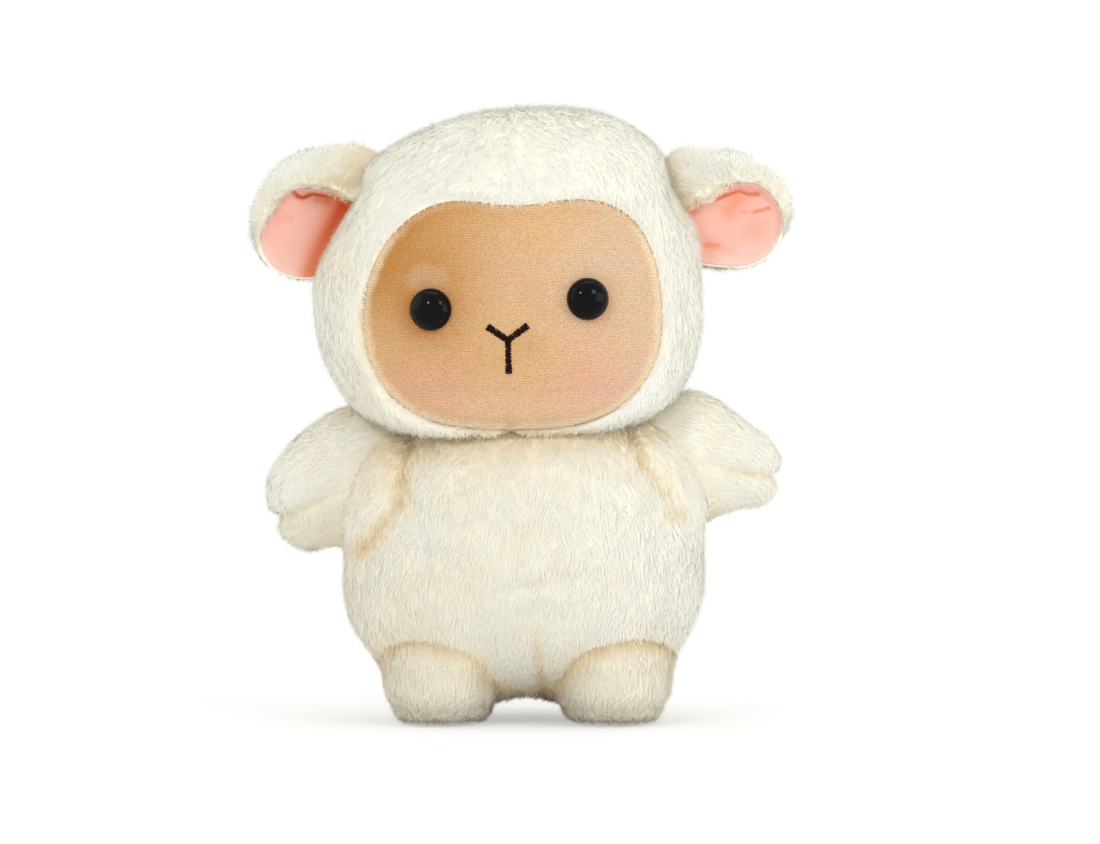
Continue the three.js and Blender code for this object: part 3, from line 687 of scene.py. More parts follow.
def grow_fur(name, body, skin, density, weight, comb, warmth_and_shade, length=PILE_LENGTH, lean=PILE_LEAN,
             width=STRAND_WIDTH, floor=-math.inf, shaded_as=None, material=fur, slot="plush"):
    """Ribbons rooted at random on a skin, by weight.

    No strand goes below floor; shaded_as gives other normals to shade the strands by."""
    roots, normals = rooted(*skin, density, weight)
    count = len(roots)
    points = bent_over(roots, normals, comb(roots), lean, length)
    gather = noise_vectors(roots, *GATHER_NOISE)
    for k, share in GATHER_SHARES.items():
        points[k] = points[k] + share * GATHER * gather
        points[k][:, 2] = np.maximum(points[k][:, 2], floor)
    along = unit(points[2] - points[0])
    side = unit(np.cross(along, normals) + 1e-6)
    spin = rng.normal(scale=SPIN, size=count)[:, None]
    side = side * np.cos(spin) + np.cross(along, side) * np.sin(spin)
    half = width / 2 * side * rng.uniform(*WIDTHS, count)[:, None]
    upper = STRAND_MIDDLE_WIDTH * half
    corners = np.stack([
        points[0] - half, points[0] + half, points[1] - upper, points[1] + upper, points[2],
    ], axis=1).reshape(-1, 3)
    looks = normals if shaded_as is None else shaded_as(roots, normals)
    shade = unit(looks + NOISE_IN_LOOKS * rng.normal(size=(count, 3)) + GATHER_IN_LOOKS * gather)
    # each strand's warmth, with the painted shade in it, sets its place on the colour ramps
    thing = strand_mesh(name, corners, shade, np.clip(warmth_and_shade(roots), *WARMTH_AND_SHADE_SPAN))
    thing.data.materials.append(material)
    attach(thing, body)


def strand_mesh(name, corners, shade, warm):
    """A mesh of ribbons, shaded by the surface that they stand on."""
    count = len(warm)
    ribbons = np.arange(count)[:, None]
    loops = (ribbons * RIBBON_CORNERS + RIBBON_LOOPS).ravel().astype(np.int32)
    starts = (ribbons * len(RIBBON_LOOPS) + RIBBON_STARTS).ravel().astype(np.int32)
    mesh = bpy.data.meshes.new(name)
    mesh.vertices.add(len(corners))
    mesh.vertices.foreach_set("co", (corners * MM).astype(np.float32).ravel())
    mesh.loops.add(len(loops))
    mesh.loops.foreach_set("vertex_index", loops)
    mesh.polygons.add(len(starts))
    mesh.polygons.foreach_set("loop_start", starts)
    mesh.update(calc_edges=True)
    normal = mesh.attributes.new("custom_normal", "FLOAT_VECTOR", "POINT")
    shades = np.repeat(shade, RIBBON_CORNERS, axis=0)
    normal.data.foreach_set("vector", shades.astype(np.float32).ravel())
    height = RIBBON_HEIGHTS * STRAND_MAP_HEIGHT
    across = RIBBON_ACROSS * STRAND_MAP_WIDTH / 2
    places = np.stack([np.tile(height, (count, 1)), warm[:, None] + across], axis=2)
    layer = mesh.uv_layers.new(name="OFBake")
    layer.uv.foreach_set("vector", places.astype(np.float32).ravel())
    return linked(bpy.data.objects.new(name, mesh))


def sewn_halves(body, skin, halves, beyond, shown, comb, warmth_and_shade, keep=True, **fur_settings):
    """The plush panels on both sides of a seam, with their pile.

    halves gives each panel's side of the seam, its strands to a square millimetre and the solids
    inside it. beyond says how far points lie beyond the seam, and shown where the pile grows."""
    points, faces = skin
    for name, (sign, density, *inside) in halves.items():
        def weight(points):
            return shown(points) * (sign * beyond(points) > 0)

        # beyond the seam the panel runs on a little under its neighbour
        own = sign * beyond(points)
        under = PANEL_TUCK * smooth_step(0, -PANEL_OVERLAP / 2, own)
        moved = points - normals_of(points, faces) * under[:, None]
        half = part_of(moved, faces, keep & (own > -PANEL_OVERLAP))
        thing = mesh_object(f"{name}_skin", *half)
        dress(thing, backing, body, (name, *inside))
        grow_fur(f"{name}_pile", body, half, density, weight, comb, warmth_and_shade, **fur_settings)


# Torso

SHOULDER_CREASES = {  # how far aside the crease in front of each arm runs, by height from low to high
    "left": [(70, 66), (62.9, 76.3), (58.5, 81.4), (48.9, 96.1), (42.3, 107.9)],
    "right": [(66, 62), (56, 70), (48, 81), (45.5, 92), (42.5, 106)],
}
SHOULDER_FULLNESS = 2.6
ARMPIT = (-58, 69)
TORSO_RIPPLE = (24, 3, 0.8)
TORSO_RELIEF = {
    "seat": 2.4, "hips": 0.9, "shoulder crease": -0.7, "crease": -1.28, "wrinkle": -1.2, "folds": 0.3,
    "chin": -2.4,
}
TORSO_WARMTH = 0.16
# painted shade: how much warmer and browner the pile is by the head and the limbs, in the creases and
# armpits and under the sheep, and cooler towards the sheep's left, where the lamps fall
TORSO_PAINTED_SHADE = {
    "chin": 0.66, "feet": 0.26, "arms": 0.182, "crease": 0.34, "wrinkle": 0.12, "under": 0.4,
    "shoulder crease": 0.1, "shoulder shade": 0.22, "armpit": 0.5, "left": -0.1,
}
TORSO_MOTTLE = [(18, 5, 0.07), (7, 61, 0.07), (3, 8, 0.05)]
TORSO_HALVES = {
    "torso_front": (-1, 3.15, "torso_filling"),
    "torso_back": (1, 2.9, "pellet_pouch"),
}


def shoulder_gap(side, points):
    """How far points lie beyond the crease in front of an arm, towards that arm."""
    aside, heights = zip(*SHOULDER_CREASES[side])
    return 0.85 * (points[:, 0] * SIDES[side] - np.interp(points[:, 2], heights, aside))


def shoulder_front(side, points):
    """1 on the front of the torso beside an arm, fading below the arm."""
    low = SHOULDER_CREASES[side][1][1]
    return smooth_step(0, -14, points[:, 1]) * smooth_step(low - 6, low + 8, points[:, 2])


def shoulder_crease(points, width, wavy):
    """1 along the creases where the arms are sewn to the front of the torso."""
    waves = noise(points, 7, 71, wavy)
    return sum(
        bump(shoulder_gap(side, points) + waves, width) * shoulder_front(side, points)
        for side in SIDES
    )


def shoulder_fullness(points):
    """How far the torso swells between those creases and the arms."""
    return SHOULDER_FULLNESS * sum(
        smooth_step(-0.5, 6, shoulder_gap(side, points)) * shoulder_front(side, points)
        for side in SIDES
    )


def middle_crease(x, z, width, low, high):
    """1 along the crease that runs up the middle from between the feet."""
    return bump(x - 5 + 0.11 * (z + 30), width) * smooth_step(low, high, z)


def belly_slant(x, z):
    """How far places lie above the slanting line of the wrinkle across the belly."""
    return z + 4 - 0.14 * x


def belly_wrinkle(x, z, width):
    """1 along the short wrinkle across the belly."""
    return bump(belly_slant(x, z) - 2 * bump(x - 8, 9), width) * bump(x + 3, 13)


def torso_dents(points):
    """How far the torso's skin stands out: at the limbs' seams and hips, and less in its creases."""
    x, y, z = (points - torso_middle).T
    front = smooth_step(10, 30, -y)
    slant = belly_slant(x, z)
    relief = weighed(TORSO_RELIEF, {
        "seat": smooth_step(-38, -46, z),
        "hips": smooth_step(30, 60, np.abs(x)) * bump(z + 18, 24) * -np.sign(x),
        "shoulder crease": shoulder_crease(points, 2, 0.8),
        "crease": middle_crease(x, z, 1.9, -18, -42) * front,
        "wrinkle": belly_wrinkle(x, z, 1.8) * front,
        "folds": (bump(slant - 6, 4) + bump(slant + 5, 4)) * bump(x + 3, 16) * front,
        "chin": smooth_step(18, 0, outside(head_form, points)) * smooth_step(0, 20, -y),
    })
    limbs = seam_fullness(np.minimum.reduce(torso_gaps(points)[1:]))
    return noise(points, *TORSO_RIPPLE) + limbs + shoulder_fullness(points) + relief


def torso_gaps(points):
    """How far points of the torso lie from the head, the arms and the feet."""
    return [
        outside(head_form, points), outside_arm("left", points), outside_arm("right", points),
        outside(foot_forms["left"], points), outside(foot_forms["right"], points),
    ]


def torso_warmth_and_shade(points):
    """Warmer and browner where the pile lies in the shadow of the head, an arm or a foot, in its
    creases and under the sheep: painted shade over the pile's own mottled tone.
    """
    x, y, z = (points - torso_middle).T
    head, *limbs = torso_gaps(points)
    front = smooth_step(0, 20, -y)
    aside, rise = points[:, 0] - ARMPIT[0], points[:, 2] - ARMPIT[1]
    parts = {
        "chin": fading(head, 9),
        "feet": fading(np.minimum(*limbs[2:]), 5.5),
        "arms": fading(np.minimum(*limbs[:2]), 5),
        "crease": middle_crease(x, z, 2.2, -14, -36) * front,
        "wrinkle": belly_wrinkle(x, z, 2) * front,
        "under": smooth_step(-36, -46, z),
        "shoulder crease": shoulder_crease(points, 2, 0.8),
        "shoulder shade": shoulder_crease(points, 5, 1.6) * (1 + noise(points, 5, 81)),
        "armpit": bump((aside + rise) * 0.7, 8) * bump((aside - rise) * 0.7, 4) * front,
        "left": smooth_step(-40, 50, x),
    }
    return TORSO_WARMTH + weighed(TORSO_PAINTED_SHADE, parts) + mottle(points, TORSO_MOTTLE)


def torso_length(points):
    return PILE_LENGTH - 1.6 * smooth_step(8, 1, outside(head_form, points))


def torso_comb(points):
    """Down, and out towards the arms between them and the creases in front of them."""
    flow = np.tile(DOWN, (len(points), 1))
    for side, sign in SIDES.items():
        near = smooth_step(0, 6, shoulder_gap(side, points)) * shoulder_front(side, points)
        flow = flow + near[:, None] * np.array([0.9 * sign, 0, 0.1])
    return flow


def make_torso():
    def behind_seam(points):
        return points[:, 1] - torso_middle[1]

    def shown(points):
        return smooth_step(*HIDDEN_SPAN, np.minimum.reduce(torso_gaps(points)))

    sewn_halves(
        "torso", skin_of(torso_form, -PILE_DEPTH, torso_dents), TORSO_HALVES, behind_seam, shown,
        torso_comb, torso_warmth_and_shade, length=torso_length, floor=TORSO_LIFT - 6,
    )


# Outlines of the face

FACE_EDGE_POINTS = 216
FACE_LOWEST = -46.8  # the panel's edge where the chin turns under
FACE_LET_OUT = 1.5  # how far the panel runs on beyond what shows of it
# how far the face shows from its middle, every 10 degrees from the sheep's right round under the chin;
# the hood's pile covers the rest of the panel
SHOWN_REACHES = [
    56.3, 56.1, 55.6, 54.4, 52.0, 49.3, 45.9, 43.4, 42.1, 41.5, 42.3, 44.1,
    46.8, 49.9, 52.9, 55.1, 56.7, 57.0, 57.0, 57.5, 58.4, 59.4, 59.3, 56.2,
    51.4, 46.4, 43.1, 42.4, 44.3, 47.9, 51.3, 53.4, 54.7, 55.5, 55.6, 56.2,
]
SHOWN_BEARINGS = np.radians(np.arange(-180, 180, 10))
CHIN_NOTCH = -1.3  # where the two halves of the hood meet under the chin
CHIN_FILL = 6.5


def face_edge():
    """The face panel's outline in the head's frame, as across and up, from the brow round."""
    half = [np.array(pair) for pair in FACE_EDGE_SHARES]
    shares = half + [pair * (-1, 1) for pair in half[-2:0:-1]]
    count = len(shares)
    points = []
    for k in range(count):
        p = [shares[(k + d) % count] for d in (-1, 0, 1, 2)]
        for t in np.linspace(0, 1, FACE_EDGE_POINTS // count, endpoint=False):
            points.append(0.5 * (
                2 * p[1] + (p[2] - p[0]) * t + (2 * p[0] - 5 * p[1] + 4 * p[2] - p[3]) * t ** 2
                + (3 * p[1] - p[0] - 3 * p[2] + p[3]) * t ** 3
            ))
    edge = np.array(points) * (FACE_HALF_WIDTH, FACE_HALF_HEIGHT)
    edge[:, 1] = np.maximum(edge[:, 1] - FACE_DROP, FACE_LOWEST)
    return edge


def shown_reach(bearing):
    """How far the face shows in a bearing, with its corners rounded."""
    near = [
        np.interp(bearing + math.radians(step), SHOWN_BEARINGS, SHOWN_REACHES, period=2 * math.pi)
        for step in (-4, 0, 4)
    ]
    return np.mean(near, axis=0)


def panel_edge():
    """The panel's outline, let out where the face shows beyond it."""
    middle = np.array([0, -FACE_DROP])
    edge = face_edge()
    x, up = (edge - middle).T
    grown = np.maximum(1, (shown_reach(np.arctan2(up, x)) + FACE_LET_OUT) / np.hypot(x, up))
    return (edge - middle) * grown[:, None] + middle


PANEL_EDGE = panel_edge()


def beyond_face(local):
    """How far points in the head's frame lie outside the part of the face that shows."""
    x, up = local[:, 0], local[:, 2] + FACE_DROP
    notch = 3 * bump(x - CHIN_NOTCH, 1.5) * (up < 0)
    gap = np.hypot(x, up) - shown_reach(np.arctan2(up, x)) - notch
    return np.where(local[:, 1] < 0, gap, 50.0)


def chin_fill(z):
    """How far the filling pushes the chin forward."""
    return CHIN_FILL * smooth_step(-31, -47, z)


def face_front(growth, x, z):
    """How far in front of the head's middle the face lies."""
    return front_of(head_form, growth, x, z) + chin_fill(z)


# Hood

RIM_ABOVE_FACE = 0.1
EAR_CREASES = {"left": (64, 43, -0.25), "right": (56, 46, -0.6)}  # aside, up, and aside for each up
EAR_SOCKETS = {"left": (2.5, 26, 40), "right": (6, 8, 40)}  # depth, and the heights where it grows
HEAD_RIPPLE = (26, 7, 0.8)
HOOD_DENSITY = 2.9
HOOD_WARMTH = 0.03
# painted shade: how much warmer the pile is by the neck and the ears, in the crown's seam, the chin's
# notch and the ears' creases, along the face's lower rim, on the right cheek and low on the sheep's
# right side
HOOD_PAINTED_SHADE = {
    "neck": 0.4, "back of neck": 0.4, "seam": 0.05, "notch": 0.6, "rim": 0.3, "ears": 0.2,
    "ear crease": 0.34, "right cheek": 0.22, "low right": 0.16,
}
HOOD_MOTTLE = [(20, 9, 0.06), (4, 8, 0.05)]


def ear_crease(local):
    """Where the root of each ear gathers the hood in front of it."""
    x, y, z = local.T
    total = 0 * x
    for side, (aside, rise, slant) in EAR_CREASES.items():
        along = z - rise
        across = (x * SIDES[side] - aside) - slant * along
        total = total + bump(across, 2.6) * bump(along, 9) * (y < 0)
    return total


def ear_socket(local):
    """How far the hood is drawn in beside the lining of each ear."""
    x, y, z = local.T
    total = 0 * x
    for side, (depth, low, high) in EAR_SOCKETS.items():
        beside = smooth_step(50, 66, x * SIDES[side]) * smooth_step(16, 8, y) * smooth_step(-46, -16, y)
        total = total + depth * beside * smooth_step(low, high, z) * smooth_step(60, 50, z)
    return total


def head_dents(points):
    """How far the hood's skin stands out, and less in its seams, dips and sockets."""
    local = in_frame_of(head_form, points)
    x, y, z = local.T
    # the crown stands a little higher on the sheep's left than on its right
    tilt = smooth_step(30, 62, z) * (2.4 * smooth_step(5, 35, x) - 3.4 * smooth_step(8, -35, x))
    crown_seam = bump(x + 1, 1.8) * smooth_step(34, 50, z) * smooth_step(40, 20, y)
    chin_notch = bump(x - CHIN_NOTCH, 2.2) * smooth_step(-43, -48, z) * smooth_step(0, 15, -y)
    # the hood dips to the face and ends on it
    gap = beyond_face(local)
    dip = (FACE_RECESS - PILE_DEPTH - RIM_ABOVE_FACE) * smooth_step(5, 0, gap)
    # the left cheek is flatter than the right
    cheek = 2.6 * smooth_step(45, 70, x) * bump(z + 25, 18)
    cheek = cheek + 2 * smooth_step(45, 70, -x) * bump(z + 28, 12)
    sides = smooth_step(45, 70, np.abs(x)) * bump(z - 8, 18) * np.where(x > 0, -1.8, 1.4)
    return (
        noise(points, *HEAD_RIPPLE) * smooth_step(0, 8, gap) + tilt - cheek + sides
        - 0.8 * crown_seam - 1.7 * chin_notch - dip - 1.8 * ear_crease(local) - ear_socket(local)
    )


def on_face_edge(local):
    """The points near the edge of the face, moved on to it."""
    gap = beyond_face(local)
    near = (gap > -2.6) & (gap < 1)
    x, up = local[near, 0], local[near, 2] + FACE_DROP
    size = np.hypot(x, up)
    share = (size - gap[near]) / size
    x, z = x * share, up * share - FACE_DROP
    moved = local.copy()
    moved[near] = np.stack([x, -face_front(RIM_ABOVE_FACE - FACE_RECESS, x, z), z], axis=1)
    return moved


def above_face(local):
    """1 over the brow, where the pile hangs down to the face panel, and 0 beside and below it."""
    return smooth_step(10, 26, local[:, 2] + FACE_DROP)


def ear_gap(points):
    return np.minimum(outside(ear_forms["left"], points), outside(ear_forms["right"], points))


def hood_weight(points):
    local = in_frame_of(head_form, points)
    clear = smooth_step(-0.2, 0.3, beyond_face(local) - 0.9 * above_face(local))
    hidden = np.minimum(outside(torso_form, points), ear_gap(points))
    rim = 1 + 0.9 * smooth_step(6, 1, beyond_face(local))
    back = 1 - 0.22 * smooth_step(10, 30, local[:, 1])
    return clear * smooth_step(*HIDDEN_SPAN, hidden) * rim * back


# painted shade where the hood's pile lies in shadow, over its own mottled tone
def hood_warmth_and_shade(points):
    local = in_frame_of(head_form, points)
    x, y, z = local.T
    neck = outside(torso_form, points)
    parts = {
        "neck": fading(neck, 3),
        "back of neck": fading(neck, 4) * smooth_step(-20, 0, y),
        "seam": bump(x, 1.6) * smooth_step(34, 50, z),
        "notch": bump(x - CHIN_NOTCH, 1.8) * smooth_step(-40, -45, z) * (y < 0),
        "rim": smooth_step(3, 0.3, beyond_face(local)) * smooth_step(-34, -14, z),
        "ears": fading(ear_gap(points), 3),
        "ear crease": ear_crease(local),
        "right cheek": bump(x + 66, 9) * bump(z - 22, 16) * (y < 0),
        "low right": smooth_step(20, -45, z) * smooth_step(50, -40, x),
    }
    return HOOD_WARMTH + weighed(HOOD_PAINTED_SHADE, parts) + mottle(points, HOOD_MOTTLE)


def hood_comb(points):
    local = in_frame_of(head_form, points)
    x, _, z = local.T
    flow = np.tile(DOWN, (len(points), 1))
    # the pile parts along the crown and is stroked a little over the edge of the face
    top = smooth_step(25, 60, z)[:, None]
    flow = flow + top * np.stack([np.tanh((x + 1) / 14), np.full(len(x), -0.45), 0 * x], axis=1)
    inward = -unit(np.stack([x, 0 * x, z + FACE_DROP], axis=1))
    near = smooth_step(5, 0, beyond_face(local)) * (1 - above_face(local))
    return flow + near[:, None] * inward


def hood_shading(points, normals):
    """Shaded as if the hood ran on over the face, so that its rim isn't a dark line."""
    near = smooth_step(5, 0, beyond_face(in_frame_of(head_form, points)))[:, None]
    return unit(normals + near * np.array([0, -0.8, 0.25]))


def hood_length(points):
    near = smooth_step(6, 1, beyond_face(in_frame_of(head_form, points)))
    return PILE_LENGTH - near * (0.6 + 2.2 * rng.random(len(points)))


def make_hood():
    points, faces = skin_of(head_form, -PILE_DEPTH, head_dents)
    local = in_frame_of(head_form, points)
    local[:, 1] -= chin_fill(local[:, 2]) * smooth_step(8, 30, -local[:, 1])
    local = on_face_edge(local)

    def left_of_seam(points):
        return in_frame_of(head_form, points)[:, 0]

    halves = {f"hood_{side}": (sign, HOOD_DENSITY) for side, sign in SIDES.items()}
    sewn_halves(
        "head", (placed(head_form, local), faces), halves, left_of_seam, hood_weight, hood_comb,
        hood_warmth_and_shade, keep=beyond_face(local) > -0.3, length=hood_length, shaded_as=hood_shading,
    )


# Face panel

FACE_RINGS = 70
FACE_TURNED_IN = (1.012, 1.03)  # two more rings, which turn back into the seam
FACE_TURN_STEEPNESS = 130
FACE_EDGE_TUCK = 0.3
# soft spots of colour: across, up, stretch across and up, radius and strength
FACE_SPOTS = {
    "ochre": [(-32, -5, 1, 1, 24, 0.5)],
    "pale": [(-2, 16, 1.2, 1.6, 11, 0.4), (16, -2, 1.3, 1, 12, 0.35), (26, 15, 1.8, 1, 7, 0.45)],
    "blush": [(-31.5, -28, 1.1, 1, 13, 0.45), (29.5, -27, 1.15, 1, 14, 0.5)],
}
EYE_SHADE = {"left": 0.35, "right": 0.7}


def spots(name, x, z):
    return sum(
        strength * bump(np.hypot((x - across) / wide, (z - up) / tall), radius)
        for across, up, wide, tall, radius, strength in FACE_SPOTS[name]
    )


def eye_shade(x, z):
    """The soft dark round the eyes, deepest below and outside them."""
    shade = 0 * x
    for side, strength in EYE_SHADE.items():
        eye = eye_seat(side)[0]
        gap = np.hypot(x - eye[0], z - eye[2]) - EYE_RADIUS
        bearing = np.arctan2(z - eye[2], (x - eye[0]) * SIDES[side])
        below = 0.35 + 0.65 * np.clip(np.cos(bearing + 0.5), 0, 1)
        shade = shade + strength * fading(gap, 3.2) * below
    return shade


def tint_face(thing, local):
    """The face's colours: its ochre, pale and pink places, its painted shade and light, and its fuzzy
    edge.
    """
    x, _, z = local.T
    gap = beyond_face(local)
    size = np.hypot(x, z + FACE_DROP)
    reach = size / np.maximum(size - gap, 1e-3)
    # ochre towards the sheep's right, partly the face's own colour and partly painted shade away from
    # the lamps; ochre along the brow, painted shade under the hood's edge
    upper_right_tone_and_shade = smooth_step(20, -45, x) * smooth_step(-14, 22, z)
    brow_shade = smooth_step(0.8, 1, reach) * smooth_step(-10, 20, z)
    patch = bump(np.hypot((x - 5) / 1.4, z + 13) + noise(local, 4, 85, 1.5), 5)
    tint(thing, "ochre", spots("ochre", x, z) + 0.8 * upper_right_tone_and_shade + 0.25 * brow_shade + 0.35 * patch)
    around = np.hypot((x + 31.5) / 9, (z - 11.5) / 6.5) + noise(local, 3.5, 83, 0.2)
    smudge = 0.4 * smooth_step(1.25, 0.6, around)
    # paler towards the sheep's left cheek: partly the face's own colour, partly painted light where the
    # lamps fall
    cheek = 0.9 * smooth_step(8, 45, x)
    chin = 0.6 * smooth_step(-18, -42, z)
    tint(thing, "pale", spots("pale", x, z) + smudge + cheek + chin)
    tint(thing, "blush", spots("blush", x, z))
    # painted shade in the seam under the hood's brow and in the chin's gather, besides the painted
    # shade round the eyes
    seam = smooth_step(0.98, 0.995, reach) * smooth_step(10, 30, z)
    gather = bump(x - CHIN_NOTCH, 0.6) * smooth_step(-36, -39, z)
    tint(thing, "shade", eye_shade(x, z) + 0.5 * seam + 0.5 * gather)
    # the fuzz tint: pale along the rim, partly the hood's fuzzy pile over it and partly painted light
    # against the rim's shadow
    rough_edge = gap + noise(local, 2.2, 84, 0.7)
    tint(thing, "fuzz", 0.9 * smooth_step(-4.4, -1.2, rough_edge) * (1 - 0.7 * smooth_step(24, 33, z)))


def make_face():
    rings = np.append(1 - (1 - np.linspace(0, 1, FACE_RINGS)) ** 1.5, FACE_TURNED_IN)
    middle_y = -face_front(-FACE_RECESS, np.zeros(1), np.full(1, -FACE_DROP))[0]
    points = [np.array([[0.0, middle_y, -FACE_DROP]])]
    for ring in rings[1:]:
        x = PANEL_EDGE[:, 0] * min(ring, 1)
        z = (PANEL_EDGE[:, 1] + FACE_DROP) * min(ring, 1) - FACE_DROP
        tuck = FACE_EDGE_TUCK * smooth_step(0.94, 1, ring) + FACE_TURN_STEEPNESS * max(ring - 1, 0)
        points.append(np.stack([x, tuck - face_front(-FACE_RECESS, x, z), z], axis=1))
    count = len(PANEL_EDGE)
    faces = [(0, 1 + (k + 1) % count, 1 + k) for k in range(count)]
    faces += ring_faces(len(points) - 1, count, first=1)
    local = np.concatenate(points)
    x, _, z = local.T
    # a gather under the chin and the soft swell of the muzzle
    local[:, 1] += 1.2 * bump(x - CHIN_NOTCH, 1.3) * smooth_step(-38, -44, z)
    local[:, 1] += noise(local, 17, 41, 0.5) * smooth_step(0, -6, beyond_face(local))
    thing = mesh_object("face_panel_knit", placed(head_form, local), faces)
    tint_face(thing, local)
    dress(
        thing, face_material(), "head", ("face_panel", "head_filling"))


# Eyes and nose

EYE_TURNS = 96
EYE_ROWS = 32
EYE_TUCK = -0.35  # radians below the rim where the dome's edge goes into the cloth
# the nose as its stitches show
NOSE_ASIDE = -1.4
NOSE_HALF_WIDTH = 7.4
NOSE_RISE = 5.2
NOSE_DROP = 12.2
NOSE_BELOW_CHEEK = 11.6
THREAD_WIDTH = 2.3
THREAD_RADIUS = 0.26
THREAD_PITCH = 0.42
THREAD_LIFT = 0.75
THREAD_SUNK = 0.15
STITCH_STEPS = 9
STITCH_SIDES = 6
STITCH_JITTER = 0.05
STITCH_LENGTHS = (0.86, 1.12)
STITCH_SLANT = 0.16
SEAT_STEP = 2.0  # between the places whose depths give the face's slope


def face_depth(x, z):
    return face_front(-FACE_RECESS, np.array([float(x)]), np.array([float(z)]))[0]


def seat_on_face(x, z):
    """A point of the face panel and the way it looks, in the head's frame."""
    normal = unit(np.array([
        -(face_depth(x + SEAT_STEP, z) - face_depth(x - SEAT_STEP, z)), -2 * SEAT_STEP,
        -(face_depth(x, z + SEAT_STEP) - face_depth(x, z - SEAT_STEP)),
    ]))
    return np.array([x, -face_depth(x, z), z]), normal


def eye_seat(side):
    return seat_on_face(EYES_ASIDE + SIDES[side] * EYE_SPREAD, EYE_RISE[side])


def make_eyes():
    gloss = eye_material()
    for side in SIDES:
        middle, outward = eye_seat(side)
        across = unit(np.cross(outward, -DOWN))
        up = np.cross(across, outward)
        points = []
        for rise in np.linspace(EYE_TUCK, math.pi / 2, EYE_ROWS)[:-1]:
            for turn in np.linspace(0, 2 * math.pi, EYE_TURNS, endpoint=False):
                ring = math.cos(turn) * across + math.sin(turn) * up
                points.append(
                    middle + outward * EYE_DOME * math.sin(rise) + EYE_RADIUS * math.cos(rise) * ring)
        points.append(middle + outward * EYE_DOME)
        faces = [face[:1] + face[:0:-1] for face in ring_faces(EYE_ROWS - 1, EYE_TURNS)]
        top = len(points) - 1
        last = top - EYE_TURNS
        faces += [(last + (k + 1) % EYE_TURNS, last + k, top) for k in range(EYE_TURNS)]
        thing = mesh_object(f"eye_{side}_dome", placed(head_form, np.array(points)), faces)
        dress(thing, gloss, "head", (f"eye_{side}", f"eye_washer_{side}"))


def stitch(start, end, lift):
    """A thread that arches from start to end over the cloth, as a tube."""
    share = np.linspace(0, 1, STITCH_STEPS)[:, None]
    path = start + (end - start) * share + lift * np.sin(math.pi * share)
    along = unit(np.gradient(path, axis=0))
    up = unit(lift - along * (along @ lift)[:, None])
    across = np.cross(along, up)
    turn = np.linspace(0, 2 * math.pi, STITCH_SIDES, endpoint=False)
    ring = np.cos(turn)[None, :, None] * up[:, None] + np.sin(turn)[None, :, None] * across[:, None]
    points = (path[:, None] + THREAD_RADIUS * ring).reshape(-1, 3)
    last = (STITCH_STEPS - 1) * STITCH_SIDES
    faces = ring_faces(STITCH_STEPS, STITCH_SIDES)
    faces += [tuple(range(STITCH_SIDES))[::-1], tuple(range(last, last + STITCH_SIDES))]
    return points, faces


def make_nose():
    fork = np.array([NOSE_ASIDE, -NOSE_BELOW_CHEEK])
    strokes = [
        (fork + (-NOSE_HALF_WIDTH, NOSE_RISE), fork), (fork + (NOSE_HALF_WIDTH, NOSE_RISE), fork),
        (fork, fork + (0, -NOSE_DROP)),
    ]
    points, faces = [], []
    for start, end in strokes:
        long = np.linalg.norm(end - start)
        along = (end - start) / long
        across = np.array([-along[1], along[0]])
        for place in np.arange(0, long, THREAD_PITCH):
            middle = start + along * (place + rng.normal(scale=STITCH_JITTER))
            reach = THREAD_WIDTH / 2 * rng.uniform(*STITCH_LENGTHS)
            slant = along * rng.normal(scale=STITCH_SLANT)
            ends = []
            for sign in (-1, 1):
                seat, normal = seat_on_face(*(middle + sign * (across * reach + slant)))
                ends.append(seat - normal * THREAD_SUNK)
            more_points, more_faces = stitch(*ends, normal * THREAD_LIFT)
            faces += [tuple(k + len(points) for k in face) for face in more_faces]
            points += list(more_points)
    thing = mesh_object("nose_stitches", placed(head_form, np.array(points)), faces)
    thread = speckled_material("thread_satin", THREAD_SURFACE, THREAD_GRAIN, THREAD_COLOURS)
    dress(thing, thread, "head", ("nose_embroidery",))


# Outlines of the ears

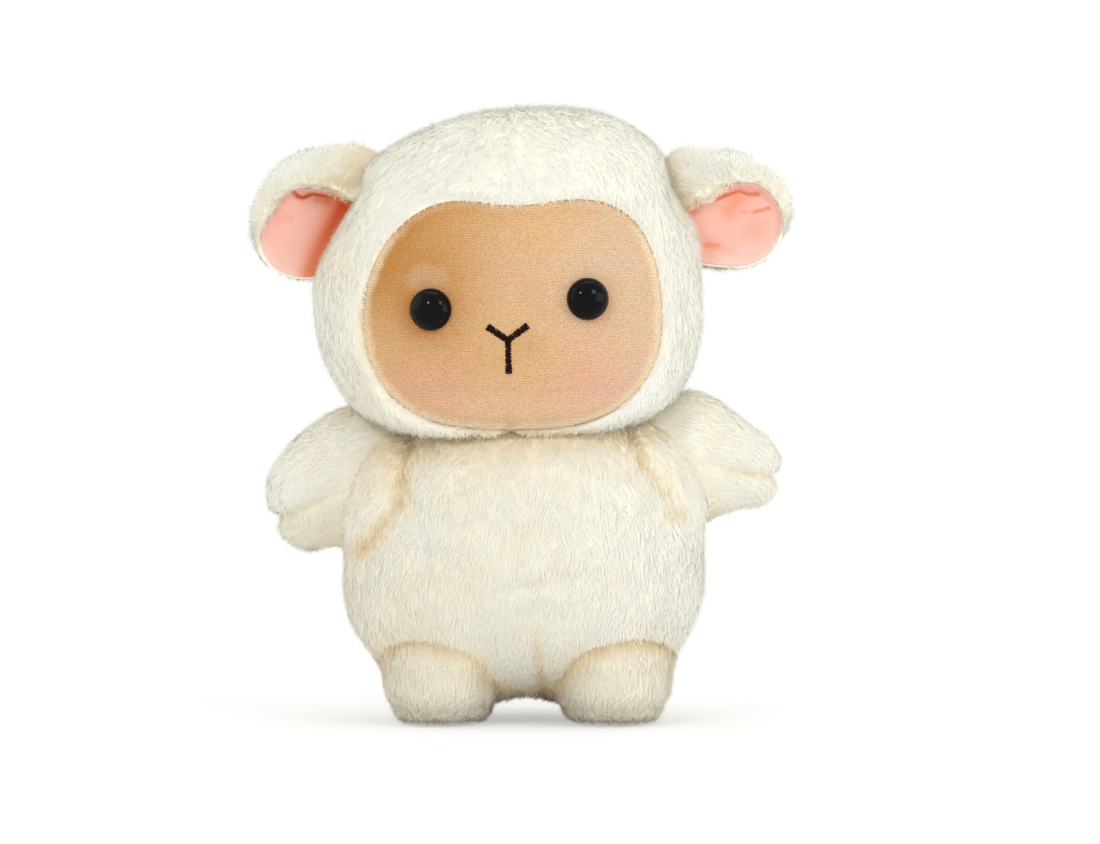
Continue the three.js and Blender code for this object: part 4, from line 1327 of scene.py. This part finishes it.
EAR_LININGS = {  # the upper edge of each lining, as outward and upward, from the head round to the tip
    "left": [
        (-16, -4), (-13.5, -1.7), (-5.5, 3), (5, 10.1), (12.5, 9.9), (19.5, 4.9), (23.6, -2.7),
        (24.2, -8), (23.5, -13),
    ],
    "right": [
        (-18, -2), (-9.3, 4.6), (-4.9, 8.8), (2, 12), (8.9, 13.6), (14.5, 11.3), (18.7, 7),
        (24, 2), (26.6, -3.2), (27, -9), (26.2, -13),
    ],
}
LINING_MIDDLE = np.array([4, -5])
LINING_SHARE = 0.965  # how far the lining reaches to the ear's lower edge
LINING_TURNS = 180
LINING_RINGS = 60
EAR_FOLDS = {  # each lining's folds: places as outward and upward along the fold, its width and depth
    "left": [
        ([(-5, 2.3), (5.3, 6.9), (8.7, 5.9), (12.3, 6.6)], 0.8, 0.9),
        ([(6.3, -1.3), (11.6, -0.7)], 0.9, 0.4),
        ([(11.6, -0.7), (17.2, 1.5)], 0.6, 0.8),
        ([(-5, -15.5), (-0.8, -15.3)], 1.2, 0.6),
        ([(-0.8, -15.3), (5, -17)], 1.6, 0.3),
        ([(5, 4.6), (1.5, -1.6)], 3.6, 0.55),
        ([(13, -7), (14, -7.4)], 5, 0.28),
        ([(-12.6, -2.6), (-12, -2.6)], 2.2, 0.5),
    ],
    "right": [
        ([(9.4, 12.4), (8.2, 10.2), (6.5, 9.3), (3, 10.1), (-3.9, 7.1), (-6.3, 5.7)], 0.8, 1),
        ([(0.5, 8.2), (-3, 5.6)], 2.2, 0.5),
        ([(13, 3), (18, 3.4)], 1.8, 0.28),
    ],
}
FOLD_DEPTH = 1.5
LIPS = {"left": (9, 9), "right": (3, 9)}  # the middle and half width of each lining's rolled lip
LIP_HEIGHT = 2
EAR_SHADOW = {"left": 0.1, "right": 1.0}  # how deep the lining and its shadow are along the head
BARE_EDGES = {"left": (-13, -19), "right": (-1, -8)}  # between which heights the pile ends
EAR_PILE_DEPTH = 0.9
EAR_DENSITY = 3.3
EAR_MOTTLE = (8, 14, 0.06)
FUZZ_DENSITY = 6
FUZZ_LENGTH = 2.2
FUZZ_LEAN = (0.9, 1.2)
FUZZ_WIDTH = 0.2


def ear_places(side, own):
    """Outward and upward places on an ear, from its own frame."""
    return own[:, 0] * SIDES[side], own[:, 2]


def ear_size(side, out, up):
    """1 on the ear's own outline, and less inside it."""
    ear = EARS[side]
    return outline_size(out / ear.half_length, up / ear.half_height, EAR_FULLNESS)


def lining_edge(side):
    """The bearings and reaches of a lining's outline from the lining's middle."""
    ear = EARS[side]
    lower = np.radians(np.linspace(-35, -150, 24))
    below = np.stack([ear.half_length * np.cos(lower), ear.half_height * np.sin(lower)], axis=1)
    below = below * (LINING_SHARE / ear_size(side, *below.T))[:, None]
    outline = np.concatenate([np.array(EAR_LININGS[side], float), below]) - LINING_MIDDLE
    bearings = np.arctan2(outline[:, 1], outline[:, 0])
    order = np.argsort(bearings)
    fine = np.linspace(-math.pi, math.pi, 361)
    reach = np.interp(fine, bearings[order], np.hypot(*outline.T)[order], period=2 * math.pi)
    soft = np.mean([np.roll(reach[:-1], k) for k in range(-4, 5)], axis=0)
    return fine[:-1], soft


LINING_EDGES = {side: lining_edge(side) for side in SIDES}


def beyond_lining(side, out, up):
    """How far places on an ear lie outside its lining's outline."""
    away, above = out - LINING_MIDDLE[0], up - LINING_MIDDLE[1]
    reach = np.interp(np.arctan2(above, away), *LINING_EDGES[side], period=2 * math.pi)
    return np.hypot(away, above) - reach


def path_gap(out, up, path):
    """How far places on an ear lie from a line through the given places."""
    gap = np.full(len(out), 1e9)
    for (a, b), (c, d) in zip(path, path[1:]):
        long = (c - a) ** 2 + (d - b) ** 2
        share = np.clip(((out - a) * (c - a) + (up - b) * (d - b)) / long, 0, 1)
        gap = np.minimum(gap, np.hypot(out - a - share * (c - a), up - b - share * (d - b)))
    return gap


def ear_folds(side, out, up):
    """1 along the deepest folds of a lining, and 0 away from them."""
    total = 0 * out
    for path, width, depth in EAR_FOLDS[side]:
        total = np.maximum(total, depth * bump(path_gap(out, up, path), width))
    return total


def ear_front(side, out, up):
    """How far in front of its middle plane an ear's front lies, with its hollow and rolled lip."""
    gap = beyond_lining(side, out, up)
    swell = front_of(ear_forms[side], -EAR_PILE_DEPTH, out, up)
    hollow = smooth_step(1.5, -2.5, gap) * smooth_step(1, 0.7, ear_size(side, out, up))
    pocket = smooth_step(14, -6, out) * EAR_SHADOW[side]
    floor = 4.5 - 5 * pocket - 1.5 * smooth_step(0, -20, up)
    # along part of its upper edge the lining rolls over
    middle, width = LIPS[side]
    lip = LIP_HEIGHT * bump(gap + 1.4, 1.3) * bump(out - middle, width) * smooth_step(0, 4, up)
    return swell * (1 - hollow) + floor * hollow + lip - FOLD_DEPTH * ear_folds(side, out, up)


def ear_outline(side, local):
    """Points of an ear in its own frame, moved so that its outline follows the sewn ear's."""
    out, up = ear_places(side, local)
    outer = smooth_step(0.75, 1, ear_size(side, out, up))
    upper, lower = smooth_step(0, 8, up), smooth_step(0, -8, up)
    if side == "left":
        rise = 0.5 - 2.8 * smooth_step(-20, -4, out) - 2.8 * smooth_step(2, 18, out)
        drop, inward = 0 * out, 0.8 + 1.8 * smooth_step(6, 26, out) * lower
    else:
        rise = 2.4 * smooth_step(16, 2, out) - 4.5 * smooth_step(10, 28, out)
        drop, inward = 1.9 * smooth_step(0, 10, out), 0 * out
    moved = local.copy()
    moved[:, 0] -= SIDES[side] * outer * inward
    moved[:, 2] += outer * (upper * rise + lower * drop)
    return moved


# Ears

def make_lining(side):
    """An ear's lining, as its points and triangles."""
    bearings = np.linspace(0, 2 * math.pi, LINING_TURNS, endpoint=False)
    reach = np.interp(bearings, *LINING_EDGES[side], period=2 * math.pi)
    share = np.linspace(0, 1, LINING_RINGS)[:, None]
    out = (LINING_MIDDLE[0] + share * reach * np.cos(bearings)).ravel()
    up = (LINING_MIDDLE[1] + share * reach * np.sin(bearings)).ravel()
    share = np.repeat(share, LINING_TURNS)
    # the edge is sewn in, and the lower edge is turned under
    low = smooth_step(-3, -9, up)
    forward = ear_front(side, out, up) + 0.3 - 1.6 * smooth_step(0.97, 1, share)
    forward = forward - 2 * smooth_step(0.93, 1, share) * low
    inside = 1 - 0.06 * smooth_step(0.95, 1, share) * low
    local = np.stack([out * inside * SIDES[side], -forward, up * inside], axis=1)
    points = placed(ear_forms[side], ear_outline(side, local))
    faces = ring_faces(LINING_RINGS, LINING_TURNS)
    if SIDES[side] < 0:
        faces = [face[::-1] for face in faces]
    thing = mesh_object(f"ear_{side}_lining", points, faces)
    tint_lining(thing, side, points, out, up)
    dress(
        thing, lining_material(side), f"ear_{side}", (f"ear_lining_{side}",))
    quads = np.array(faces)
    return points, np.concatenate([quads[:, :3], quads[:, [0, 2, 3]]])


def tint_lining(thing, side, points, out, up):
    # painted shade along the head and in the folds, and painted light low in the lining's hollow
    hood_gap = outside(head_form, points) + ear_socket(in_frame_of(head_form, points))
    shadow = EAR_SHADOW[side]
    folds = ear_folds(side, out, up)
    high = smooth_step(-16, 4, up)
    head_shade_band = (0.35 + 0.65 * high) * smooth_step(6.5 - high, 1.5, hood_gap)
    pale = smooth_step(-12, -3, beyond_lining(side, out, up)) * smooth_step(0, -12, up)
    tint(thing, "pale", 0.6 * pale)
    tint(thing, "fold_shade", shadow * smooth_step(10, 3, hood_gap) + folds + noise(points, 9, 61, 0.15))
    tint(thing, "deep_shade", shadow * head_shade_band + 0.75 * shadow * folds ** 2)


def make_ear(side):
    shape, sign = ear_forms[side], SIDES[side]
    local = local_points(shape, SMALL.points, -EAR_PILE_DEPTH)
    out, up = ear_places(side, local)
    under_lining = 1.4 * smooth_step(0.3, -1.5, beyond_lining(side, out, up))
    forward = ear_front(side, out, up) - under_lining
    local[:, 1] = np.where(local[:, 1] < -0.01, -forward, local[:, 1])
    points = placed(shape, ear_outline(side, local))
    thing = mesh_object(f"ear_{side}_skin", points, SMALL.faces)
    dress(thing, backing, f"ear_{side}", (f"ear_back_{side}",))

    def in_front(points):
        return in_frame_of(shape, points)[:, 1] < 3

    def gap(points):
        return beyond_lining(side, *ear_places(side, in_frame_of(shape, points)))

    def weight(points):
        lined = (gap(points) < -0.2) & in_front(points)
        own = in_frame_of(shape, points)
        out, up = ear_places(side, own)
        # along the lower edge the lining is folded over instead of the pile
        bare = smooth_step(*BARE_EDGES[side], up) * smooth_step(0.72, 0.84, ear_size(side, out, up))
        bare = bare * smooth_step(0.5, -1.5, own[:, 1])
        return (1 - lined) * (1 - bare) * smooth_step(*ROOT_SPAN, outside(head_form, points))

    def comb(points):
        own = in_frame_of(shape, points)
        out, up = ear_places(side, own)
        front = smooth_step(3, -3, own[:, 1])
        fan = unit(np.stack([out - 4, up + 14], axis=1))
        above = smooth_step(-2, 12, up)[:, None]
        fan = above * fan + (1 - above) * np.array([0.15, -1])
        flow = np.stack([
            sign * (fan[:, 0] * front + 0.15 * (1 - front)), 0.2 * front,
            fan[:, 1] * front - 0.9 * (1 - front),
        ], axis=1)
        return flow @ shape.turn.T

    def shading(points, normals):
        near = smooth_step(5, 0, gap(points)) * in_front(points)
        return unit(normals + near[:, None] * np.array([0, -0.9, 0.2]))

    def warmth_and_shade(points):
        # painted shade near the head, and warmer along the lining's edge
        near = fading(outside(head_form, points), 6)
        brim = smooth_step(6, 1, gap(points)) * in_front(points)
        return 0.04 + 0.4 * near + 0.2 * brim + noise(points, *EAR_MOTTLE)

    grow_fur(
        f"ear_{side}_pile", f"ear_{side}", (points, SMALL.faces), EAR_DENSITY, weight, comb, warmth_and_shade,
        shaded_as=shading, material=shaded_ear_fur,
    )
    lining = make_lining(side)

    def fuzz_weight(points):
        return smooth_step(-3.2, -0.6, gap(points))

    def outward(points):
        out, up = ear_places(side, in_frame_of(shape, points))
        away = [sign * (out - LINING_MIDDLE[0]), 0 * out, up - LINING_MIDDLE[1]]
        return unit(np.stack(away, axis=1)) @ shape.turn.T

    grow_fur(
        f"ear_{side}_lining_fuzz", f"ear_{side}", lining, FUZZ_DENSITY, fuzz_weight, outward,
        lambda points: rng.random(len(points)), length=FUZZ_LENGTH, lean=FUZZ_LEAN, width=FUZZ_WIDTH,
        shaded_as=shading, material=lining_fur, slot="ear_lining",
    )


# Arms

ARM_PILE_DEPTH = {"left": 1.8, "right": 0}
ARM_DENSITY = 3.6
ARM_RIPPLE = (16, 13, 0.8)
ARM_WARMTH = 0.12
# painted shade: warmer at the arm's root, along its seam and on its underside
ARM_PAINTED_SHADE = {"root": 0.2, "seam": 0.34, "below": 0.08}
ARM_MOTTLE = [(15, 6, 0.07), (6, 62, 0.05)]
ARM_TURNS = 96
ARM_ROWS = 72


def arm_fullness(side, s, rise):
    """How far the filling pushes out an arm's upper and lower side, s along it from the shoulder."""
    if side == "left":
        above = 4.8 * bump(s - 11, 17)
        below = 1.8 * bump(s - 18, 9) + 1.5 * smooth_step(32, 42, s)
    else:
        above = 3.3 * bump(s - 22, 17)
        below = -1.8 * bump(s - 20, 9)
    return above * smooth_step(0, 12, rise) - below * smooth_step(0, -12, rise)


def arm_skin(side):
    """An arm's whole surface, as points and triangles."""
    shoulder, along, up = arm_axes(side)
    arm = ARMS[side]
    pile = ARM_PILE_DEPTH[side]
    start, end = -(arm.root - pile), arm.length + arm.tip - pile
    stations = start + (end - start) * (1 - np.cos(np.linspace(0, math.pi, ARM_ROWS))) / 2
    radii = arm_radius(side, stations, -pile)
    radii[0] = radii[-1] = 0.05
    angle = 2 * math.pi * np.arange(ARM_TURNS) / ARM_TURNS
    s = np.repeat(stations, ARM_TURNS)
    radius = np.repeat(radii, ARM_TURNS)
    height = radius * np.tile(np.sin(angle), ARM_ROWS)
    height = height + arm_fullness(side, s, height)
    depth = radius * np.tile(np.cos(angle), ARM_ROWS) * ARM_FLATNESS
    # the seam draws the skin in, most at the tip
    outward = np.clip(s / end, 0, 1) ** 2
    pinch = bump(height, ARM_SEAM_WIDTH * 0.6)
    points = shoulder + along * (s - 1.6 * ARM_SEAM_PINCH * pinch * outward)[:, None]
    points = points + up * height[:, None]
    points[:, 1] += depth * (1 - 0.1 * pinch * (0.4 + outward))
    faces = np.array(ring_faces(ARM_ROWS, ARM_TURNS))[:, [0, 1, 2, 0, 2, 3]].reshape(-1, 3)
    if SIDES[side] < 0:
        faces = faces[:, ::-1]
    full = seam_fullness(outside(torso_form, points)) + noise(points, *ARM_RIPPLE)
    return points + normals_of(points, faces) * full[:, None], faces


def make_arm(side):
    shoulder, along, up = arm_axes(side)
    arm = ARMS[side]

    def above_seam(points):
        return (points - shoulder) @ up

    def root_gap(points):
        return np.minimum(outside(torso_form, points), outside(head_form, points))

    def shown(points):
        return smooth_step(*HIDDEN_SPAN, root_gap(points))

    def comb(points):
        s = (points - shoulder) @ along
        tip = smooth_step(0.6 * arm.length, arm.length + arm.tip, s)[:, None]
        return along * (1 - 0.8 * tip) + (0.25 + 0.75 * tip) * DOWN

    def warmth_and_shade(points):
        rise = above_seam(points)
        parts = {
            "root": fading(root_gap(points), 5),
            "seam": bump(rise, 1.3) * smooth_step(8, 26, (points - shoulder) @ along),
            "below": smooth_step(4, -16, rise),
        }
        return ARM_WARMTH + weighed(ARM_PAINTED_SHADE, parts) + mottle(points, ARM_MOTTLE)

    halves = {
        f"arm_upper_{side}": (1, ARM_DENSITY, f"arm_filling_{side}"),
        f"arm_lower_{side}": (-1, ARM_DENSITY),
    }
    sewn_halves(f"arm_{side}", arm_skin(side), halves, above_seam, shown, comb, warmth_and_shade)


# Feet

FOOT_PILE_DEPTH = 2.3
FOOT_DENSITY = 3.8
FOOT_FLOOR = 0.4
FOOT_BARE = 1.6  # how high the sole's underside is without pile
FOOT_RIPPLE = (14, 17, 0.6)
FOOT_MOTTLE = (15, 6, 0.07)
FOOT_WARMTH = 0.2
# painted shade: warmer by the torso, along the sole's seam and near the floor
FOOT_PAINTED_SHADE = {"torso": 0.5, "seam": 0.16, "low": 0.34}


def foot_dents(points):
    seam = bump(points[:, 2] - SOLE_SEAM_RISE, 1.3)
    full = seam_fullness(outside(torso_form, points))
    low = smooth_step(9, 2, points[:, 2])
    return full + 1.9 * low - 0.3 * seam + noise(points, *FOOT_RIPPLE)


def foot_warmth_and_shade(points):
    parts = {
        "torso": fading(outside(torso_form, points), 4.5),
        "seam": bump(points[:, 2] - SOLE_SEAM_RISE, 1.2),
        "low": smooth_step(5, 1, points[:, 2]),
    }
    return FOOT_WARMTH + weighed(FOOT_PAINTED_SHADE, parts) + noise(points, *FOOT_MOTTLE)


def make_foot(side):
    shape = foot_forms[side]
    points, faces = skin_of(shape, -FOOT_PILE_DEPTH, foot_dents)
    # the sole is rounded up at its edge
    x, y, z = in_frame_of(shape, points).T
    depth = extents(shape, y, z)[0]
    size = outline_size(x / shape.half_width, y / depth, FOOT_PLAN_FULLNESS)
    points[:, 2] = np.maximum(points[:, 2], 1.2 + 2.4 * smooth_step(0.6, 1, size) ** 2)

    def comb(points):
        away = points - shape.middle
        away[:, 2] = 0
        return DOWN + 0.6 * unit(away)

    def above_seam(points):
        return points[:, 2] - SOLE_SEAM_RISE

    def shown(points):
        return smooth_step(*HIDDEN_SPAN, outside(torso_form, points)) * (points[:, 2] > FOOT_BARE)

    halves = {
        f"foot_upper_{side}": (1, FOOT_DENSITY, f"foot_filling_{side}"),
        f"foot_sole_{side}": (-1, FOOT_DENSITY),
    }
    sewn_halves(
        f"foot_{side}", (points, faces), halves, above_seam, shown, comb, foot_warmth_and_shade,
        floor=FOOT_FLOOR,
    )


# Tail

TAIL_DENSITY = 3.4
TAIL_WARMTH = 0.2


def make_tail():
    middle = torso_middle + np.array([0, TAIL_BEHIND_WAIST, -TAIL_BELOW_WAIST])
    shape = form(
        middle, TAIL_RADIUS, TAIL_RADIUS, TAIL_RADIUS, TAIL_LENGTH, TAIL_LENGTH,
        turn=turn_about_x(TAIL_DROP_DEG),
    )
    skin = skin_of(shape, -PILE_DEPTH, ball=SMALL)
    dress(mesh_object("tail_skin", *skin), backing, "torso", ("tail",))

    def weight(points):
        return smooth_step(*ROOT_SPAN, outside(torso_form, points))

    def comb(points):
        return np.tile(DOWN + np.array([0, 0.3, 0]), (len(points), 1))

    def warmth_and_shade(points):
        return np.full(len(points), TAIL_WARMTH)

    grow_fur("tail_pile", "torso", skin, TAIL_DENSITY, weight, comb, warmth_and_shade)


# Stage

CAMERA_LENS = 200
CAMERA_SENSOR = 36
PHOTO_WIDTH = 1100
PIXEL = 0.38  # millimetres to a pixel of the photograph, at the sheep's middle
CAMERA_ELEVATION_DEG = 2
AIM = np.array([11, -20, 114.5])
LIT_POINT = np.array([0, 0, 110])
WHITE = (1, 1, 1)
LAMPS = [  # name, degrees aside and up, distance, size, power, shape and colour
    ("window", 42, 32, 1400, 400, 3.0, "SQUARE", (0.95, 0.98, 1)),
    ("front", -24, 31, 950, 110, 1.3, "DISK", WHITE),
    ("side", -85, 25, 1000, 900, 1.2, "DISK", WHITE),
    ("far_side", 66, 3, 1100, 900, 3, "DISK", WHITE),
    ("top", 180, 78, 1000, 900, 2.1, "DISK", (0.9, 0.96, 1)),
]
FILL_LIGHT = {"Color": (1, 0.98, 0.94, 1), "Strength": 0.84}
PLAIN_WHITE = {"Color": (1, 1, 1, 1), "Strength": 1.0}
FLOOR_REACH = 3000
FLOOR_SURFACE = {"Base Color": (0.93, 0.93, 0.93, 1), "Roughness": 0.95, "Specular IOR Level": 0}
FLOOR_SHADOW_SPAN = (0.06, 0.3)  # metres from the middle, over which the floor turns plain white
FLOOR_WHITE_NEAR = 0.45


def make_camera():
    distance = PHOTO_WIDTH * PIXEL * CAMERA_LENS / CAMERA_SENSOR
    data = bpy.data.cameras.new("camera")
    data.lens = CAMERA_LENS
    data.sensor_width = CAMERA_SENSOR
    camera = linked(bpy.data.objects.new("camera", data))
    elevation = math.radians(CAMERA_ELEVATION_DEG)
    back = np.array([0, -math.cos(elevation), math.sin(elevation)])
    camera.location = (AIM + back * distance) * MM
    camera.rotation_euler = (math.pi / 2 - elevation, 0, 0)
    bpy.context.scene.camera = camera


def area_light(name, aside_deg, elevation_deg, distance, size, power, shape, colour):
    """A lamp that looks at the sheep from its front, aside towards the sheep's left and above."""
    aside, elevation = math.radians(aside_deg), math.radians(elevation_deg)
    data = bpy.data.lights.new(name, "AREA")
    data.shape = shape
    data.size = size * MM
    data.energy = power
    data.color = colour
    lamp = linked(bpy.data.objects.new(name, data))
    back = np.array([
        math.cos(elevation) * math.sin(aside), -math.cos(elevation) * math.cos(aside),
        math.sin(elevation),
    ])
    lamp.location = (LIT_POINT + back * distance) * MM
    lamp.rotation_euler = Vector(-back).to_track_quat("-Z", "Y").to_euler()


def seen_rays(tree):
    """1 for rays that see the backdrop itself, straight, mirrored or through glass."""
    path = add_node(tree, "ShaderNodeLightPath")
    total = path.outputs["Is Camera Ray"]
    for name in ("Is Glossy Ray", "Is Transmission Ray"):
        total = math_result(tree, "ADD", total, path.outputs[name], use_clamp=True)
    return total


def make_floor():
    material, tree, shader = new_material("floor_paper", FLOOR_SURFACE)
    # near the sheep the floor shows its shadow, and farther off it is plain white
    away = add_node(tree, "ShaderNodeVectorMath", {0: own_coordinates(tree)}, operation="LENGTH")
    fade = ranged(
        tree, away.outputs["Value"], FLOOR_SHADOW_SPAN, (FLOOR_WHITE_NEAR, 1),
        interpolation_type="SMOOTHSTEP")
    share = math_result(tree, "MULTIPLY", fade, seen_rays(tree))
    white = add_node(tree, "ShaderNodeEmission", PLAIN_WHITE)
    inputs = {0: share, 1: shader.outputs[0], 2: white.outputs[0]}
    mix = add_node(tree, "ShaderNodeMixShader", inputs)
    tree.links.new(mix.outputs[0], tree.nodes["Material Output"].inputs["Surface"])
    corners = [(x * FLOOR_REACH, y * FLOOR_REACH, 0) for x, y in ((-1, -1), (1, -1), (1, 1), (-1, 1))]
    floor = mesh_object("floor", corners, [(0, 1, 2, 3)], smooth=False)
    floor.data.materials.append(material)


def make_light():
    world = bpy.data.worlds.new("studio")
    bpy.context.scene.world = world
    world.use_nodes = True
    tree = world.node_tree
    fill = tree.nodes["Background"]
    for key, value in FILL_LIGHT.items():
        fill.inputs[key].default_value = value
    white = add_node(tree, "ShaderNodeBackground", PLAIN_WHITE)
    inputs = {0: seen_rays(tree), 1: fill.outputs[0], 2: white.outputs[0]}
    mix = add_node(tree, "ShaderNodeMixShader", inputs)
    tree.links.new(mix.outputs[0], tree.nodes["World Output"].inputs[0])
    for lamp in LAMPS:
        area_light(*lamp)
    bpy.context.scene.view_settings.view_transform = "Standard"


make_camera()
make_floor()
make_light()
make_torso()
make_hood()
make_face()
make_eyes()
make_nose()
for make_pair in (make_ear, make_arm, make_foot):
    for which in SIDES:
        make_pair(which)
make_tail()
